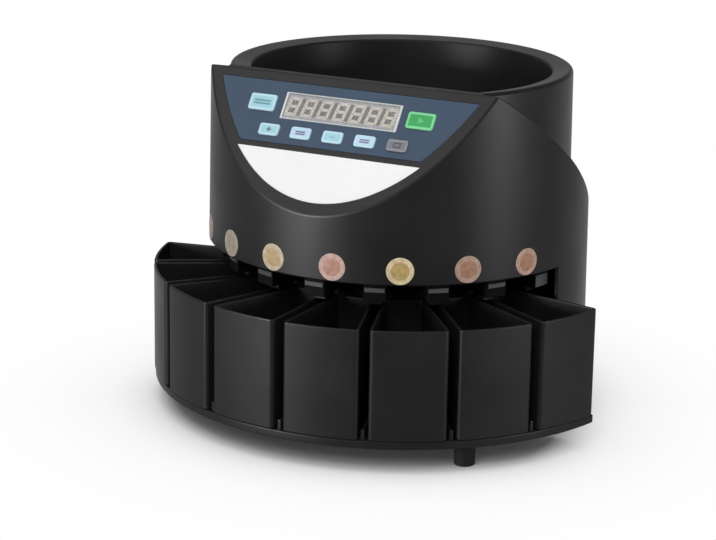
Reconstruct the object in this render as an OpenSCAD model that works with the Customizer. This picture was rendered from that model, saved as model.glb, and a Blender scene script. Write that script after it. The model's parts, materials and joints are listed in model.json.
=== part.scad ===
// Coin counting machine: a hopper and a sorting drive over a ring of eight coin cups.
// Lengths are in millimetres. The hopper axis is upright and the front faces -Y.
// Angles round the axis start at the front and grow towards +X.

/* [Overall] */
// Height of the hopper rim above the table
rim_h = 254; // [235:1:310]
// Radius of the outer walls of the coin cups
ring_r = 182; // [150:1:220]
// Depth of the machine behind the hopper axis
rear_depth = 148; // [146:1:180]

/* [Feet and base] */
// Height of a rubber foot
foot_h = 17.6; // [14:0.1:22]
// Diameter of a foot at the table
foot_d = 14.5; // [12:0.5:20]
// Distance of the front feet inside the cup ring
foot_inset = 18; // [12:1:30]
// Angle of the right front foot from the front
foot_angle = 44; // [30:1:60]
// Angle of the left front foot from the front
left_foot_angle = 57; // [30:1:65]
// Sideways distance of a rear foot from the middle
rear_foot_x = 78; // [60:1:95]
// Distance of the rear feet behind the hopper axis
rear_foot_y = 100; // [80:1:112]
// Thickness of the base pan
base_t = 6; // [5:0.5:9]
// Height of the guide ribs between the cups
rib_h = 7; // [4:0.5:12]
// Width of a guide rib
rib_w = 3; // [2:0.5:4]

/* [Coin cups] */
// Angle from one cup to the next
cup_pitch = 19.6; // [16:0.1:20]
// Open space between two cups
cup_gap = 7; // [6:0.5:10]
// Height of a cup
cup_h = 79; // [60:1:79]
// Radius of the inner cup walls
cup_in_r = 102; // [99:1:115]
// Thickness of the cup walls
cup_wall = 2; // [1.5:0.1:3]
// Thickness of the cup floor
cup_floor = 2; // [1.5:0.1:3]

/* [Cowl] */
// Radius of the cowl at the base pan
cowl_base_r = 142; // [140:0.5:172]
// Taper of the cowl radius from the base pan up to the rim
cowl_taper = 2.5; // [0:0.1:5]
// Wall thickness of the cowl
cowl_wall = 2.6; // [2:0.1:4]
// Height of the cowl's front edge over the cups
cowl_lift = 122.8; // [118:0.2:150]
// Opening of the cowl beside the last cups, as an angle
window_side = 2.6; // [2:0.1:5]
// Slope of the control panel
panel_tilt = 54.7; // [48:0.1:60]
// Slope of the shoulder that falls to the rear
shoulder_tilt = 36.5; // [28:0.5:38]
// Width of the flat ridge between the panel and the hopper
ridge_w = 4.7; // [3:0.1:8]
// Half width of the rear box
rear_box_x = 55; // [52:1:70]
// Height of the rear box above the table
rear_box_h = 95; // [92:1:105]

/* [Hopper] */
// Radius of the hopper rim
hopper_r = 125.5; // [121:0.5:132]
// Taper of the hopper drum from its foot up to the rim
hopper_taper = 1.5; // [0:0.1:4]
// Wall thickness of the hopper
hopper_wall = 2.6; // [2:0.1:4]
// Width of the rim band
rim_w = 15; // [10:0.5:20]
// Fall of the rim band towards the inside
rim_drop = 2.5; // [1:0.1:5]
// Radius of the opening over the turntable
throat_r = 90; // [82:1:94]
// Distance of the flat front wall from the hopper axis
hopper_front = 72; // [60:1:78]

/* [Panel] */
// Border between the cowl edge and the keypad film
film_border = 7.5; // [6:0.5:12]
// Border between the cowl edge and the white badge
badge_border = 5; // [3:0.2:10]
// Distance from the panel top down to the film
film_top = 7.3; // [5:0.1:10]
// Distance from the panel top down to the lower film edge
film_end = 55; // [53:0.5:60]
// Distance from the lower film edge to the badge
badge_gap = 3.9; // [2:0.1:6]
// Width of the display window
display_w = 92.3; // [70:0.1:94]
// Height of the display window
display_h = 20.7; // [14:0.1:21]
// Distance from the panel top down to the display and the large keys
display_v = 25.2; // [24.5:0.1:26]
// Sideways distance of a large key from the middle
big_key_u = 62.7; // [61:0.1:64]
// Width of a large key
big_key_w = 21.1; // [14:0.1:21.2]
// Height of a large key
big_key_h = 12.7; // [9:0.1:13]
// Distance from one small key to the next
small_key_pitch = 25.4; // [22:0.1:26]
// Distance from the panel top down to the small keys
small_key_v = 45.4; // [45:0.1:46]
// Width of a small key
small_key_w = 16; // [10:0.1:19.2]
// Height of a small key
small_key_h = 9; // [6:0.1:9]
// Height of a key above the film
key_rise = 1.2; // [0.8:0.1:2]
// Travel of a key
key_travel = 1; // [0.5:0.1:1]
// Diameter of a coin marker on the cowl
marker_d = 19.5; // [14:0.5:20]
// Height of a coin marker's middle above the cowl's front edge
marker_rise = 10.9; // [10:0.1:14]
// Turn of the coin markers against the cups
marker_turn = -2.2; // [-4:0.1:4]

/* [Drive] */
// Tooth size of the gears, as pitch diameter per tooth
gear_m = 1.5; // [1.25:0.05:1.6]
// Teeth of the turntable gear
gear_teeth = 60; // [48:1:60]
// Teeth of the motor pinion
pinion_teeth = 20; // [18:1:22]
// Face width of the turntable gear
gear_w = 8; // [5:0.5:9]
// Radius of the turntable shaft
shaft_r = 5; // [4:0.1:6]
// Radius of the motor shaft
motor_shaft_r = 3; // [2.5:0.1:4]
// Radius of the gearhead
gearhead_r = 18.5; // [17:0.5:22]
// Thickness of the deck plate
deck_t = 3.5; // [3:0.1:5]
// Thickness of the sorting track
track_t = 3; // [2.6:0.1:4]
// Thickness of the turntable disc
disc_t = 2.4; // [1.5:0.1:2.5]
// Gap between the turntable and the sorting track
disc_gap = 0.7; // [0.4:0.1:1]
// Height of the throat over the turntable
throat_gap = 4; // [3:0.1:6]

/* [Clearances] */
// Radial clearance of a shaft that turns in a bush
run_clear = 0.05; // [0.02:0.01:0.1]
// Gap between a sliding cup and the base pan
slide_clear = 0.2; // [0.1:0.05:0.5]
// Gap round a key in the panel
key_clear = 0.4; // [0.3:0.05:0.6]
// Gap round a fixed piece set into an opening
set_clear = 0.2; // [0.1:0.05:0.4]
// Gap between the hopper drum and the cowl
drum_clear = 0.4; // [0.3:0.05:1]
// Gap round a screw in a plate that it passes through
screw_clear = 0.1; // [0.05:0.05:0.3]

/* [Hidden] */
$fn = 64;
// Coin diameters from the first cup at the left to the last at the right
coin_d = [25.75, 24.25, 23.25, 22.25, 21.25, 19.75, 18.75, 16.25];
cup_count = len(coin_d);
big = 600;

// Heights of the stacked pieces above the table
base_top = foot_h + base_t;
cup_z = base_top + slide_clear;
deck_z = cowl_lift + 0.7;
deck_top = deck_z + deck_t;
track_top = deck_top + track_t;
disc_z = track_top - disc_t;
throat_z = track_top + throat_gap;
plate_z = 84;
plate_t = 3;
plate_top = plate_z + plate_t;
bush_flange = 2;
collar_z = plate_top + bush_flange + slide_clear;
collar_h = 6.8;
gear_hub = 3;
gear_z = collar_z + collar_h + gear_hub;
chute_z = cup_z + cup_h + 5.2;
chute_foot = base_top + set_clear;
sensor_z = cup_z + cup_h + 0.8;

// The rear pieces stay behind the cowl, and the hopper axis stands where the outline's middle is the origin
rear_end = max(rear_depth, cowl_base_r + 4);
axis_y = (ring_r - rear_end) / 2;

// Cowl radius at a height, and the ridge and panel edge that follow the hopper
function cowl_r(z) = cowl_base_r - cowl_taper * (z - base_top) / (rim_h - base_top);
ridge_back = -(hopper_front + hopper_wall + 0.7);
panel_y = ridge_back - ridge_w;
panel_wall = 3;
ridge_half = sqrt(pow(hopper_r, 2) - pow(hopper_front + hopper_wall, 2));
ridge_h = ridge_w * tan(shoulder_tilt) + 0.5;
panel_depth = (cowl_r(rim_h) + panel_y) / cos(panel_tilt);
window_half = cup_count / 2 * cup_pitch + window_side;
base_half = cup_count / 2 * cup_pitch - 0.6;
shoulder_low = deck_top + track_t + 6;
boss_r = 5;
boss_ring = cowl_base_r - cowl_wall - 4.4;
boss_angles = [-135, -95, 95, 135];

// Hopper and deck radii
flange_h = track_t;
drum_foot_r = hopper_r + hopper_taper;
fence_r = drum_foot_r - hopper_wall;
flange_r = drum_foot_r + 7;
deck_r = flange_r + 2;
track_r = fence_r - 0.4;
disc_r = throat_r + 6.5;
track_in_r = disc_r + disc_gap;
front_drum_h = 20;
chute_in_r = cup_in_r - 6;
chute_r = fence_r + 6.5;
block_half = 3.5;

// Frame posts and the motor plate's standoffs
post_r = 4;
post_ring = chute_in_r - 6;
post_angles = [-125, -60, 0, 60, 125];
gear_pitch_r = gear_m * gear_teeth / 2;
pinion_pitch_r = gear_m * pinion_teeth / 2;
gear_tip_r = gear_pitch_r + gear_m;
motor_y = gear_pitch_r + pinion_pitch_r;
standoff_r = 4.5;
standoffs = [[-55, -32], [55, -32], [-45, motor_y + 22], [45, motor_y + 22]];
flank_gap = 0.15;

// Screws
screw_r = 1.5;
head_r = 3;
head_h = 2.2;

// Rear pieces
bezel_t = 2.5;
cover_t = 2;
cover_y = rear_end - bezel_t;
rear_face = cover_y - cover_t;
cover_x = rear_box_x - 5;
cover_low = base_top + 2.4;
cover_high = rear_box_h - 7;
cover_screw_x = cover_x - 4;
inlet_x = -22;
switch_x = 25;
rear_mid = (cover_low + cover_high) / 2;
inlet_w = 27.6;
inlet_h = 20.2;
switch_w = 19;
switch_h = 27;
rocker_w = 14.4;
rocker_tilt = 8;
rocker_y = cover_y - 7;
rocker_pin_r = 1.5;

// Panel pieces, in depths below the panel face
film_recess = 0.6;
film_t = 0.5;
badge_recess = 0.8;
badge_t = 0.7;
lens_flange = 1.5;
lens_t = 0.5;
lens_top = -0.1;
pcb_z = -12;
pcb_t = 1.6;
pcb_w = 172;
pcb_top_v = 14.5;
pcb_end_v = 54;
pcb_holes = [[-80, 18.5], [80, 18.5], [-72, 50], [72, 50]];
small_keys = [-2, -1, 0, 1, 2];
board_legs = [[-68, 66], [-30, 66], [-68, 108], [-30, 108]];
board_h = 6.4;

// Which node to draw

// Places

function cup_angle(i) = (i - (cup_count - 1) / 2) * cup_pitch;
function slot_r(i) = fence_r - 0.6 - coin_d[i] / 2;
function round_axis(r, a) = [r * sin(a), -r * cos(a), 0];
function front_foot(a) = round_axis(ring_r - foot_inset, a);
foot_places = [
    front_foot(-left_foot_angle), front_foot(foot_angle),
    [-rear_foot_x, rear_foot_y, 0], [rear_foot_x, rear_foot_y, 0]
];

module on_axis() {
    translate([0, axis_y, 0]) children();
}

// Panel frame: x to the right, y up the slope, z out of the panel, zero at the panel's top edge
module on_panel() {
    translate([0, panel_y, rim_h]) rotate([panel_tilt, 0, 0]) children();
}

module at_cup(i) {
    rotate([0, 0, cup_angle(i)]) children();
}

module at_feet() {
    for (p = foot_places) translate(p) children();
}

module at_posts() {
    for (a = post_angles) translate(round_axis(post_ring, a)) children();
}

module at_standoffs() {
    for (p = standoffs) translate([p[0], p[1], 0]) children();
}

module at_flange_screws() {
    for (a = [-150, -100, -50, 0, 50, 100, 150]) translate(round_axis(drum_foot_r + 3.5, a)) children();
}

module at_cover_screws() {
    for (x = [-cover_screw_x, cover_screw_x])
        for (z = [cover_low + 5, cover_high - 5])
            translate([x, cover_y, z]) rotate([-90, 0, 0]) children();
}

module at_keys_large() {
    for (s = [-1, 1]) translate([s * big_key_u, -display_v, 0]) children();
}

module at_keys_small() {
    for (k = small_keys) translate([k * small_key_pitch, -small_key_v, 0]) children();
}

// Shapes

module block(w, d, h) {
    translate([-w / 2, -d / 2, 0]) cube([w, d, h]);
}

module tube(r_out, r_in, h) {
    difference() {
        cylinder(h = h, r = r_out);
        translate([0, 0, -1]) cylinder(h = h + 2, r = r_in);
    }
}

module wedge(half, r) {
    reach = 1.5 * r / cos(half);
    polygon([[0, 0], [-reach * sin(half), -reach * cos(half)], [reach * sin(half), -reach * cos(half)]]);
}

module sector(r_out, r_in, half, h) {
    intersection() {
        tube(r_out, r_in, h);
        translate([0, 0, -1]) linear_extrude(h + 2) wedge(half, r_out);
    }
}

// A countersunk screw with its head's top at zero
module flush_screw(len) {
    translate([0, 0, -head_h]) cylinder(h = head_h, r1 = screw_r, r2 = head_r);
    translate([0, 0, -len]) cylinder(h = len - head_h, r = screw_r);
}

module flush_hole(len) {
    translate([0, 0, -head_h]) cylinder(h = head_h, r1 = screw_r + screw_clear, r2 = head_r + screw_clear);
    translate([0, 0, -0.01]) cylinder(h = 1, r = head_r + screw_clear);
    translate([0, 0, -len]) cylinder(h = len - head_h + 0.01, r = screw_r + screw_clear);
}

// A raised-head screw with the underside of its head at zero
module raised_screw(len) {
    cylinder(h = head_h, r = head_r);
    translate([0, 0, -len]) cylinder(h = len, r = screw_r);
}

function involute(a) = tan(a) * 180 / PI - a;

module gear_outline(teeth) {
    pr = gear_m * teeth / 2;
    br = pr * cos(20);
    tip = pr + gear_m;
    root = pr - 1.25 * gear_m;
    steps = [root, br + 0.01, br + (tip - br) * 0.25, br + (tip - br) * 0.5, br + (tip - br) * 0.75, tip];
    function half(r) = 90 / teeth - flank_gap / pr * 180 / PI + involute(20) - involute(acos(br / max(r, br)));
    polygon([
        for (t = [0:teeth - 1])
            for (k = [0:11])
                let (
                    r = k < 6 ? steps[k] : steps[11 - k],
                    a = t * 360 / teeth + (k < 6 ? -half(r) : half(r))
                )
                [r * cos(a), r * sin(a)]
    ]);
}

// Base and feet

module base_pan() {
    color([0.10, 0.10, 0.105]) on_axis() difference() {
        union() {
            translate([0, 0, foot_h]) cylinder(h = base_t, r = cowl_base_r);
            translate([0, 0, foot_h]) sector(ring_r - 0.8, 10, base_half, base_t);
            translate([-rear_box_x, 60, foot_h]) cube([2 * rear_box_x, rear_face - 60, base_t]);
            for (i = [1:cup_count - 1])
                rotate([0, 0, cup_angle(i - 0.5)])
                    translate([-rib_w / 2, -(ring_r - 3), base_top - 0.5])
                        cube([rib_w, ring_r - 3 - cup_in_r, rib_h + 0.5]);
            for (p = board_legs) translate([p[0], p[1], base_top - 0.5]) cylinder(h = board_h + 0.5, r = 3);
        }
        at_feet() translate([0, 0, foot_h - 1]) cylinder(h = base_t - 0.6, r = screw_r);
        at_posts() translate([0, 0, foot_h]) rotate([180, 0, 0]) flush_hole(14);
        for (a = boss_angles) translate(round_axis(boss_ring, a)) {
            translate([0, 0, foot_h - 1]) cylinder(h = 3.4, r = head_r + 0.4);
            translate([0, 0, foot_h - 1]) cylinder(h = base_t + 2, r = screw_r + 0.2);
        }
    }
}

module rubber_feet() {
    color([0.16, 0.16, 0.16]) on_axis() at_feet() difference() {
        cylinder(h = foot_h, r1 = foot_d / 2, r2 = foot_d / 2 + 0.5);
        translate([0, 0, -1]) cylinder(h = 7, r = head_r + 0.6);
        cylinder(h = foot_h + 1, r = screw_r + 0.1);
    }
}

module foot_screws() {
    color([0.62, 0.63, 0.65]) on_axis() at_feet()
        translate([0, 0, 6]) rotate([180, 0, 0]) raised_screw(foot_h + base_t - 8);
}

// Cups

module cup_outline(inset) {
    intersection() {
        difference() {
            circle(ring_r - inset);
            circle(cup_in_r + inset);
        }
        translate([0, -(cup_gap / 2 + inset) / sin(cup_pitch / 2)]) wedge(cup_pitch / 2, ring_r);
    }
}

module coin_cup(i) {
    color([0.075, 0.077, 0.082]) on_axis() at_cup(i) translate([0, 0, cup_z]) difference() {
        linear_extrude(cup_h) cup_outline(0);
        translate([0, 0, cup_floor]) linear_extrude(cup_h) cup_outline(cup_wall);
    }
}

module coin_cup_1() { coin_cup(0); }
module coin_cup_2() { coin_cup(1); }
module coin_cup_3() { coin_cup(2); }
module coin_cup_4() { coin_cup(3); }
module coin_cup_5() { coin_cup(4); }
module coin_cup_6() { coin_cup(5); }
module coin_cup_7() { coin_cup(6); }
module coin_cup_8() { coin_cup(7); }

// Cowl with console, shoulder and rear box

module cowl_cone(inset, z_low) {
    translate([0, 0, z_low])
        cylinder(h = rim_h - z_low, r1 = cowl_r(z_low) - inset, r2 = cowl_r(rim_h) - inset);
}

module under_panel(inset) {
    on_panel() translate([-big, -big, -big - inset]) cube([2 * big, 2 * big, big]);
}

// The shoulder falls to the rear and ends level, just above the hopper's flange
module under_shoulder(inset) {
    translate([0, panel_y, rim_h]) rotate([-shoulder_tilt, 0, 0])
        translate([-big, -big, -big - inset]) cube([2 * big, 2 * big, big]);
    translate([-big, -big, 0]) cube([2 * big, 2 * big, shoulder_low - inset]);
}

// The flat ridge along the hopper's front wall
module ridge() {
    translate([-ridge_half, panel_y - 1, rim_h - ridge_h]) cube([2 * ridge_half, ridge_w + 1, ridge_h]);
}

module rear_box(inset, z_low) {
    translate([-rear_box_x + inset, 60, z_low])
        cube([2 * (rear_box_x - inset), rear_face - inset - 60, rear_box_h - inset - z_low]);
}

module panel_hole(w, h) {
    translate([-w / 2, -h / 2, -panel_wall - 1]) cube([w, h, panel_wall + 3]);
}

module panel_border(border) {
    translate([0, 0, foot_h]) cylinder(h = rim_h, r = cowl_r(rim_h - panel_depth / 2) - border);
}

module cowl() {
    color([0.085, 0.087, 0.092]) on_axis() difference() {
        union() {
            difference() {
                union() {
                    intersection() {
                        cowl_cone(0, base_top);
                        under_panel(0);
                        under_shoulder(0);
                    }
                    rear_box(0, base_top);
                    intersection() {
                        cowl_cone(0, base_top);
                        under_panel(0);
                        ridge();
                    }
                }
                intersection() {
                    translate([0, 0, -1]) cowl_cone(cowl_wall, base_top);
                    under_panel(panel_wall);
                    under_shoulder(panel_wall);
                }
                rear_box(cowl_wall, base_top - 1);
            }
            for (a = boss_angles) translate(round_axis(boss_ring, a)) translate([0, 0, base_top])
                cylinder(h = 22, r = boss_r);
            on_panel() for (p = pcb_holes) translate([p[0], -p[1], pcb_z])
                cylinder(h = -pcb_z - panel_wall + 0.5, r = 3);
        }
        // the hopper drum passes through the shoulder
        intersection() {
            translate([0, 0, deck_top])
                cylinder(h = rim_h - deck_top, r1 = drum_foot_r + drum_clear, r2 = hopper_r + drum_clear);
            translate([-big, ridge_back, 0]) cube([2 * big, 2 * big, big]);
        }
        // the cups pass under the front edge
        translate([0, 0, base_top - 1]) linear_extrude(cowl_lift - base_top + 1) wedge(window_half, ring_r);
        // recesses and openings of the panel
        intersection() {
            panel_border(film_border);
            on_panel() translate([-big, -film_end, -film_recess]) cube([2 * big, film_end - film_top, 10]);
        }
        intersection() {
            panel_border(badge_border);
            on_panel() translate([-big, -big, -badge_recess]) cube([2 * big, big - film_end - badge_gap, 10]);
        }
        on_panel() {
            translate([0, -display_v, 0]) panel_hole(display_w + 2 * set_clear, display_h + 2 * set_clear);
            at_keys_large() panel_hole(big_key_w + 2 * key_clear, big_key_h + 2 * key_clear);
            at_keys_small() panel_hole(small_key_w + 2 * key_clear, small_key_h + 2 * key_clear);
            for (p = pcb_holes) translate([p[0], -p[1], pcb_z - 1]) cylinder(h = 8, r = screw_r);
        }
        for (a = boss_angles) translate(round_axis(boss_ring, a)) translate([0, 0, base_top - 1])
            cylinder(h = 18, r = screw_r);
        // the rear cover seats on a flat face and closes this opening
        translate([-rear_box_x, rear_face, base_top - 1])
            cube([2 * rear_box_x, big, rear_box_h - base_top + 1]);
        translate([0, 0, rear_mid]) translate([-cover_x + 8, rear_face - 10, -(cover_high - cover_low) / 2 + 8])
            cube([2 * cover_x - 16, 20, cover_high - cover_low - 16]);
        at_cover_screws() translate([0, 0, -12]) cylinder(h = 12, r = screw_r);
    }
}

module cowl_screws() {
    color([0.62, 0.63, 0.65]) on_axis() for (a = boss_angles) translate(round_axis(boss_ring, a))
        translate([0, 0, foot_h + 2.4]) rotate([180, 0, 0]) raised_screw(17);
}

module coin_markers() {
    color([0.72, 0.55, 0.30]) on_axis() for (i = [0:cup_count - 1])
        intersection() {
            difference() {
                cowl_cone(-0.4, base_top);
                cowl_cone(0, base_top);
            }
            rotate([0, 0, cup_angle(i) + marker_turn])
                translate([0, 0, cowl_lift + marker_rise]) rotate([90, 0, 0])
                    translate([0, 0, ring_r / 3]) cylinder(h = ring_r, d = marker_d);
        }
}

// Panel pieces

module panel_piece(border, v_top, v_end, z_low, t) {
    intersection() {
        panel_border(border);
        on_panel() translate([-big, -v_end, z_low]) cube([2 * big, v_end - v_top, t]);
    }
}

module keypad_film() {
    color([0.28, 0.36, 0.47]) on_axis() difference() {
        panel_piece(film_border + set_clear, film_top + set_clear, film_end - set_clear, -film_recess, film_t);
        on_panel() {
            translate([0, -display_v, 0]) panel_hole(display_w + 2 * set_clear, display_h + 2 * set_clear);
            at_keys_large() panel_hole(big_key_w + 2 * key_clear, big_key_h + 2 * key_clear);
            at_keys_small() panel_hole(small_key_w + 2 * key_clear, small_key_h + 2 * key_clear);
        }
    }
}

module badge_plate() {
    color([0.90, 0.90, 0.89]) on_axis()
        panel_piece(badge_border + set_clear, film_end + badge_gap + set_clear, big, -badge_recess, badge_t);
}

module display_window() {
    color([0.62, 0.66, 0.70]) on_axis() on_panel() translate([0, -display_v, 0]) difference() {
        union() {
            translate([0, 0, -panel_wall]) block(display_w, display_h, panel_wall + lens_top);
            translate([0, 0, -panel_wall - lens_flange]) block(display_w + 2.4, display_h + 2.4, lens_flange);
        }
        translate([0, 0, -panel_wall - lens_flange - 1])
            block(display_w - 3.6, display_h - 1.6, panel_wall + lens_flange + 1 + lens_top - lens_t);
    }
}

module display_module() {
    color([0.80, 0.80, 0.74]) on_axis() on_panel() translate([0, -display_v, pcb_z])
        block(display_w - 4, display_h - 2, -pcb_z + lens_top - lens_t - 0.4);
}

module control_board() {
    color([0.10, 0.32, 0.20]) on_axis() on_panel() difference() {
        translate([-pcb_w / 2, -pcb_end_v, pcb_z - pcb_t]) cube([pcb_w, pcb_end_v - pcb_top_v, pcb_t]);
        for (p = pcb_holes) translate([p[0], -p[1], pcb_z - pcb_t - 1]) cylinder(h = pcb_t + 2, r = screw_r + 0.1);
    }
}

module board_screws() {
    color([0.62, 0.63, 0.65]) on_axis() on_panel() for (p = pcb_holes)
        translate([p[0], -p[1], pcb_z - pcb_t]) rotate([180, 0, 0]) raised_screw(pcb_t + 6);
}

module key_switch() {
    translate([0, 0, pcb_z]) block(6, 6, 3.5);
    translate([0, 0, pcb_z + 3.5]) cylinder(h = 2 - key_travel, r = 1.7);
}

module key_switches() {
    color([0.13, 0.13, 0.14]) on_axis() on_panel() {
        at_keys_large() key_switch();
        at_keys_small() key_switch();
    }
}

module key_cap(w, h) {
    translate([0, 0, -panel_wall - 1.1]) block(w + 4, h + 4, 1);
    translate([0, 0, -panel_wall - 0.2]) block(w, h, panel_wall + 0.2 - film_recess + film_t + key_rise);
    translate([0, 0, pcb_z + 5.6]) cylinder(h = -pcb_z - 5.6 - panel_wall - 1, r = 2);
}

module small_key(k) {
    on_axis() on_panel() translate([small_keys[k] * small_key_pitch, -small_key_v, 0])
        key_cap(small_key_w, small_key_h);
}

module mode_key() {
    color([0.36, 0.62, 0.78]) on_axis() on_panel() translate([-big_key_u, -display_v, 0])
        key_cap(big_key_w, big_key_h);
}

module start_key() {
    color([0.10, 0.52, 0.30]) on_axis() on_panel() translate([big_key_u, -display_v, 0])
        key_cap(big_key_w, big_key_h);
}

module small_key_1() { color([0.42, 0.64, 0.76]) small_key(0); }
module small_key_2() { color([0.62, 0.74, 0.84]) small_key(1); }
module small_key_3() { color([0.42, 0.66, 0.74]) small_key(2); }
module small_key_4() { color([0.62, 0.74, 0.84]) small_key(3); }
module small_key_5() { color([0.52, 0.55, 0.58]) small_key(4); }

// Hopper

rim_in = hopper_r - rim_w;
rim_edge = [
    [hopper_r + 0.03, rim_h - 3], [hopper_r - 0.3, rim_h - 1.6], [hopper_r - 1.2, rim_h - 0.5],
    [hopper_r - 2.6, rim_h], [rim_in + 1.2, rim_h - rim_drop], [rim_in + 0.2, rim_h - rim_drop - 0.7],
    [rim_in - 0.2, rim_h - rim_drop - 2]
];

module hopper_shell() {
    rotate_extrude() polygon(concat(
        [[fence_r, deck_top], [flange_r, deck_top], [flange_r, deck_top + flange_h]],
        [[drum_foot_r, deck_top + flange_h]],
        rim_edge,
        [[throat_r, throat_z], [throat_r + hopper_wall, throat_z]],
        [[rim_in + hopper_wall, rim_h - rim_drop - 5], [hopper_r - hopper_wall, rim_h - 5]]
    ));
}

module hopper_fill() {
    rotate_extrude() polygon(concat(
        [[0, throat_z], [throat_r + hopper_wall, throat_z], [hopper_r - 1, rim_h - 6]],
        [for (k = [0:3]) rim_edge[k]],
        [[0, rim_h]]
    ));
}

module hopper_bowl() {
    wall_y = hopper_front + hopper_wall;
    color([0.08, 0.082, 0.088]) on_axis() difference() {
        union() {
            intersection() {
                hopper_shell();
                translate([-big, -wall_y, 0]) cube([2 * big, 2 * big, big]);
            }
            intersection() {
                hopper_fill();
                translate([-big, -wall_y, 0]) cube([2 * big, hopper_wall, rim_h - 0.6]);
            }
            // the fence goes on round the front, low under the console
            intersection() {
                union() {
                    translate([0, 0, deck_top]) tube(drum_foot_r - 0.2, fence_r, front_drum_h);
                    translate([0, 0, deck_top]) tube(flange_r, fence_r, flange_h);
                }
                translate([-big, -big - wall_y, 0]) cube([2 * big, big, big]);
            }
        }
        at_flange_screws() translate([0, 0, deck_top + flange_h]) flush_hole(flange_h + 1);
    }
}

// Deck and sorting pieces

module deck_plate() {
    color([0.42, 0.44, 0.46]) on_axis() difference() {
        union() {
            translate([0, 0, deck_z]) cylinder(h = deck_t, r = deck_r);
            translate([0, 0, deck_z - 8]) cylinder(h = 9, r = shaft_r + 8);
        }
        translate([0, 0, deck_z - 9]) cylinder(h = deck_t + 10, r = shaft_r + 3);
        for (i = [0:cup_count - 1]) at_cup(i) translate([0, -slot_r(i), deck_z - 1])
            cylinder(h = deck_t + 2, r = coin_d[i] / 2 + 1.5);
        at_posts() translate([0, 0, deck_top]) flush_hole(14);
        at_standoffs() translate([0, 0, deck_top]) flush_hole(14);
        at_flange_screws() translate([0, 0, deck_z - 1]) cylinder(h = deck_t + 2, r = screw_r);
    }
}

module deck_posts() {
    color([0.66, 0.67, 0.69]) on_axis() at_posts() difference() {
        translate([0, 0, base_top]) cylinder(h = deck_z - base_top, r = post_r);
        translate([0, 0, base_top - 1]) cylinder(h = 13, r = screw_r);
        translate([0, 0, deck_z - 12]) cylinder(h = 13, r = screw_r);
    }
}

module frame_screws() {
    color([0.62, 0.63, 0.65]) on_axis() {
        at_posts() {
            translate([0, 0, foot_h]) rotate([180, 0, 0]) flush_screw(14);
            translate([0, 0, deck_top]) flush_screw(12);
        }
        at_standoffs() translate([0, 0, deck_top]) flush_screw(12);
        at_flange_screws() translate([0, 0, deck_top + flange_h]) flush_screw(flange_h + deck_t);
    }
}

module sorting_track() {
    color([0.70, 0.71, 0.72]) on_axis() difference() {
        translate([0, 0, deck_top]) tube(track_r, track_in_r, track_t);
        for (i = [0:cup_count - 1]) at_cup(i) translate([0, -slot_r(i), deck_top - 1])
            cylinder(h = track_t + 2, r = coin_d[i] / 2 + 0.3);
    }
}

module chute_ring() {
    // blocks between the chutes, and a wall behind the cups that shuts off the drive
    color([0.56, 0.57, 0.58]) on_axis() translate([0, 0, chute_foot]) difference() {
        sector(chute_r, chute_in_r, cup_count / 2 * cup_pitch + 3.5, deck_z - chute_foot);
        translate([0, 0, -1]) tube(chute_r + 5, chute_in_r + 2.2, chute_z - chute_foot + 1);
        for (i = [0:cup_count - 1]) at_cup(i) translate([0, 0, -1])
            sector(chute_r + 5, chute_in_r + 2.5, cup_pitch / 2 - block_half, deck_z - chute_foot + 2);
    }
}

module coin_sensors() {
    color([0.11, 0.11, 0.12]) on_axis() for (i = [0:cup_count - 1]) rotate([0, 0, cup_angle(i + 0.5)])
        translate([0, -(chute_in_r + chute_r) / 2 - 1, sensor_z]) block(8, 14, chute_z - sensor_z);
}

// Turntable drive

module upper_bush() {
    color([0.66, 0.50, 0.26]) on_axis() translate([0, 0, deck_z - 8])
        tube(shaft_r + 3, shaft_r + run_clear, deck_t + 8);
}

module lower_bush() {
    color([0.66, 0.50, 0.26]) on_axis() {
        translate([0, 0, plate_z - 3]) tube(shaft_r + 3, shaft_r + run_clear, plate_t + 3 + bush_flange);
        translate([0, 0, plate_top]) tube(shaft_r + 6, shaft_r + 2, bush_flange);
    }
}

module motor_plate() {
    color([0.58, 0.60, 0.62]) on_axis() difference() {
        translate([-62, -42, plate_z]) cube([124, motor_y + 74, plate_t]);
        translate([0, 0, plate_z - 1]) cylinder(h = plate_t + 2, r = shaft_r + 3);
        translate([0, motor_y, plate_z - 1]) cylinder(h = plate_t + 2, r = motor_shaft_r + 4);
        translate([0, motor_y, plate_z]) for (a = [45:90:315]) rotate([0, 0, a])
            translate([gearhead_r - 5, 0, -1]) cylinder(h = plate_t + 2, r = screw_r);
    }
}

module plate_standoffs() {
    color([0.66, 0.67, 0.69]) on_axis() at_standoffs() difference() {
        translate([0, 0, plate_top]) cylinder(h = deck_z - plate_top, r = standoff_r);
        translate([0, 0, deck_z - 12]) cylinder(h = 13, r = screw_r);
    }
}

module gearhead() {
    color([0.50, 0.51, 0.53]) on_axis() translate([0, motor_y, 0]) difference() {
        translate([0, 0, plate_z - 26]) cylinder(h = 26, r = gearhead_r);
        translate([0, 0, plate_z - 14.5]) cylinder(h = 20, r = motor_shaft_r + run_clear);
        for (a = [45:90:315]) rotate([0, 0, a]) translate([gearhead_r - 5, 0, plate_z - 8])
            cylinder(h = 10, r = screw_r);
    }
}

module drive_motor() {
    color([0.30, 0.31, 0.33]) on_axis() translate([0, motor_y, 0]) {
        translate([0, 0, plate_z - 56]) cylinder(h = 30, r = gearhead_r - 1);
        for (s = [-1, 1]) translate([s * 9, 0, plate_z - 59]) block(5, 0.8, 3.5);
    }
}

module motor_screws() {
    color([0.62, 0.63, 0.65]) on_axis() translate([0, motor_y, plate_top]) for (a = [45:90:315])
        rotate([0, 0, a]) translate([gearhead_r - 5, 0, 0]) raised_screw(plate_t + 6);
}

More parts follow.
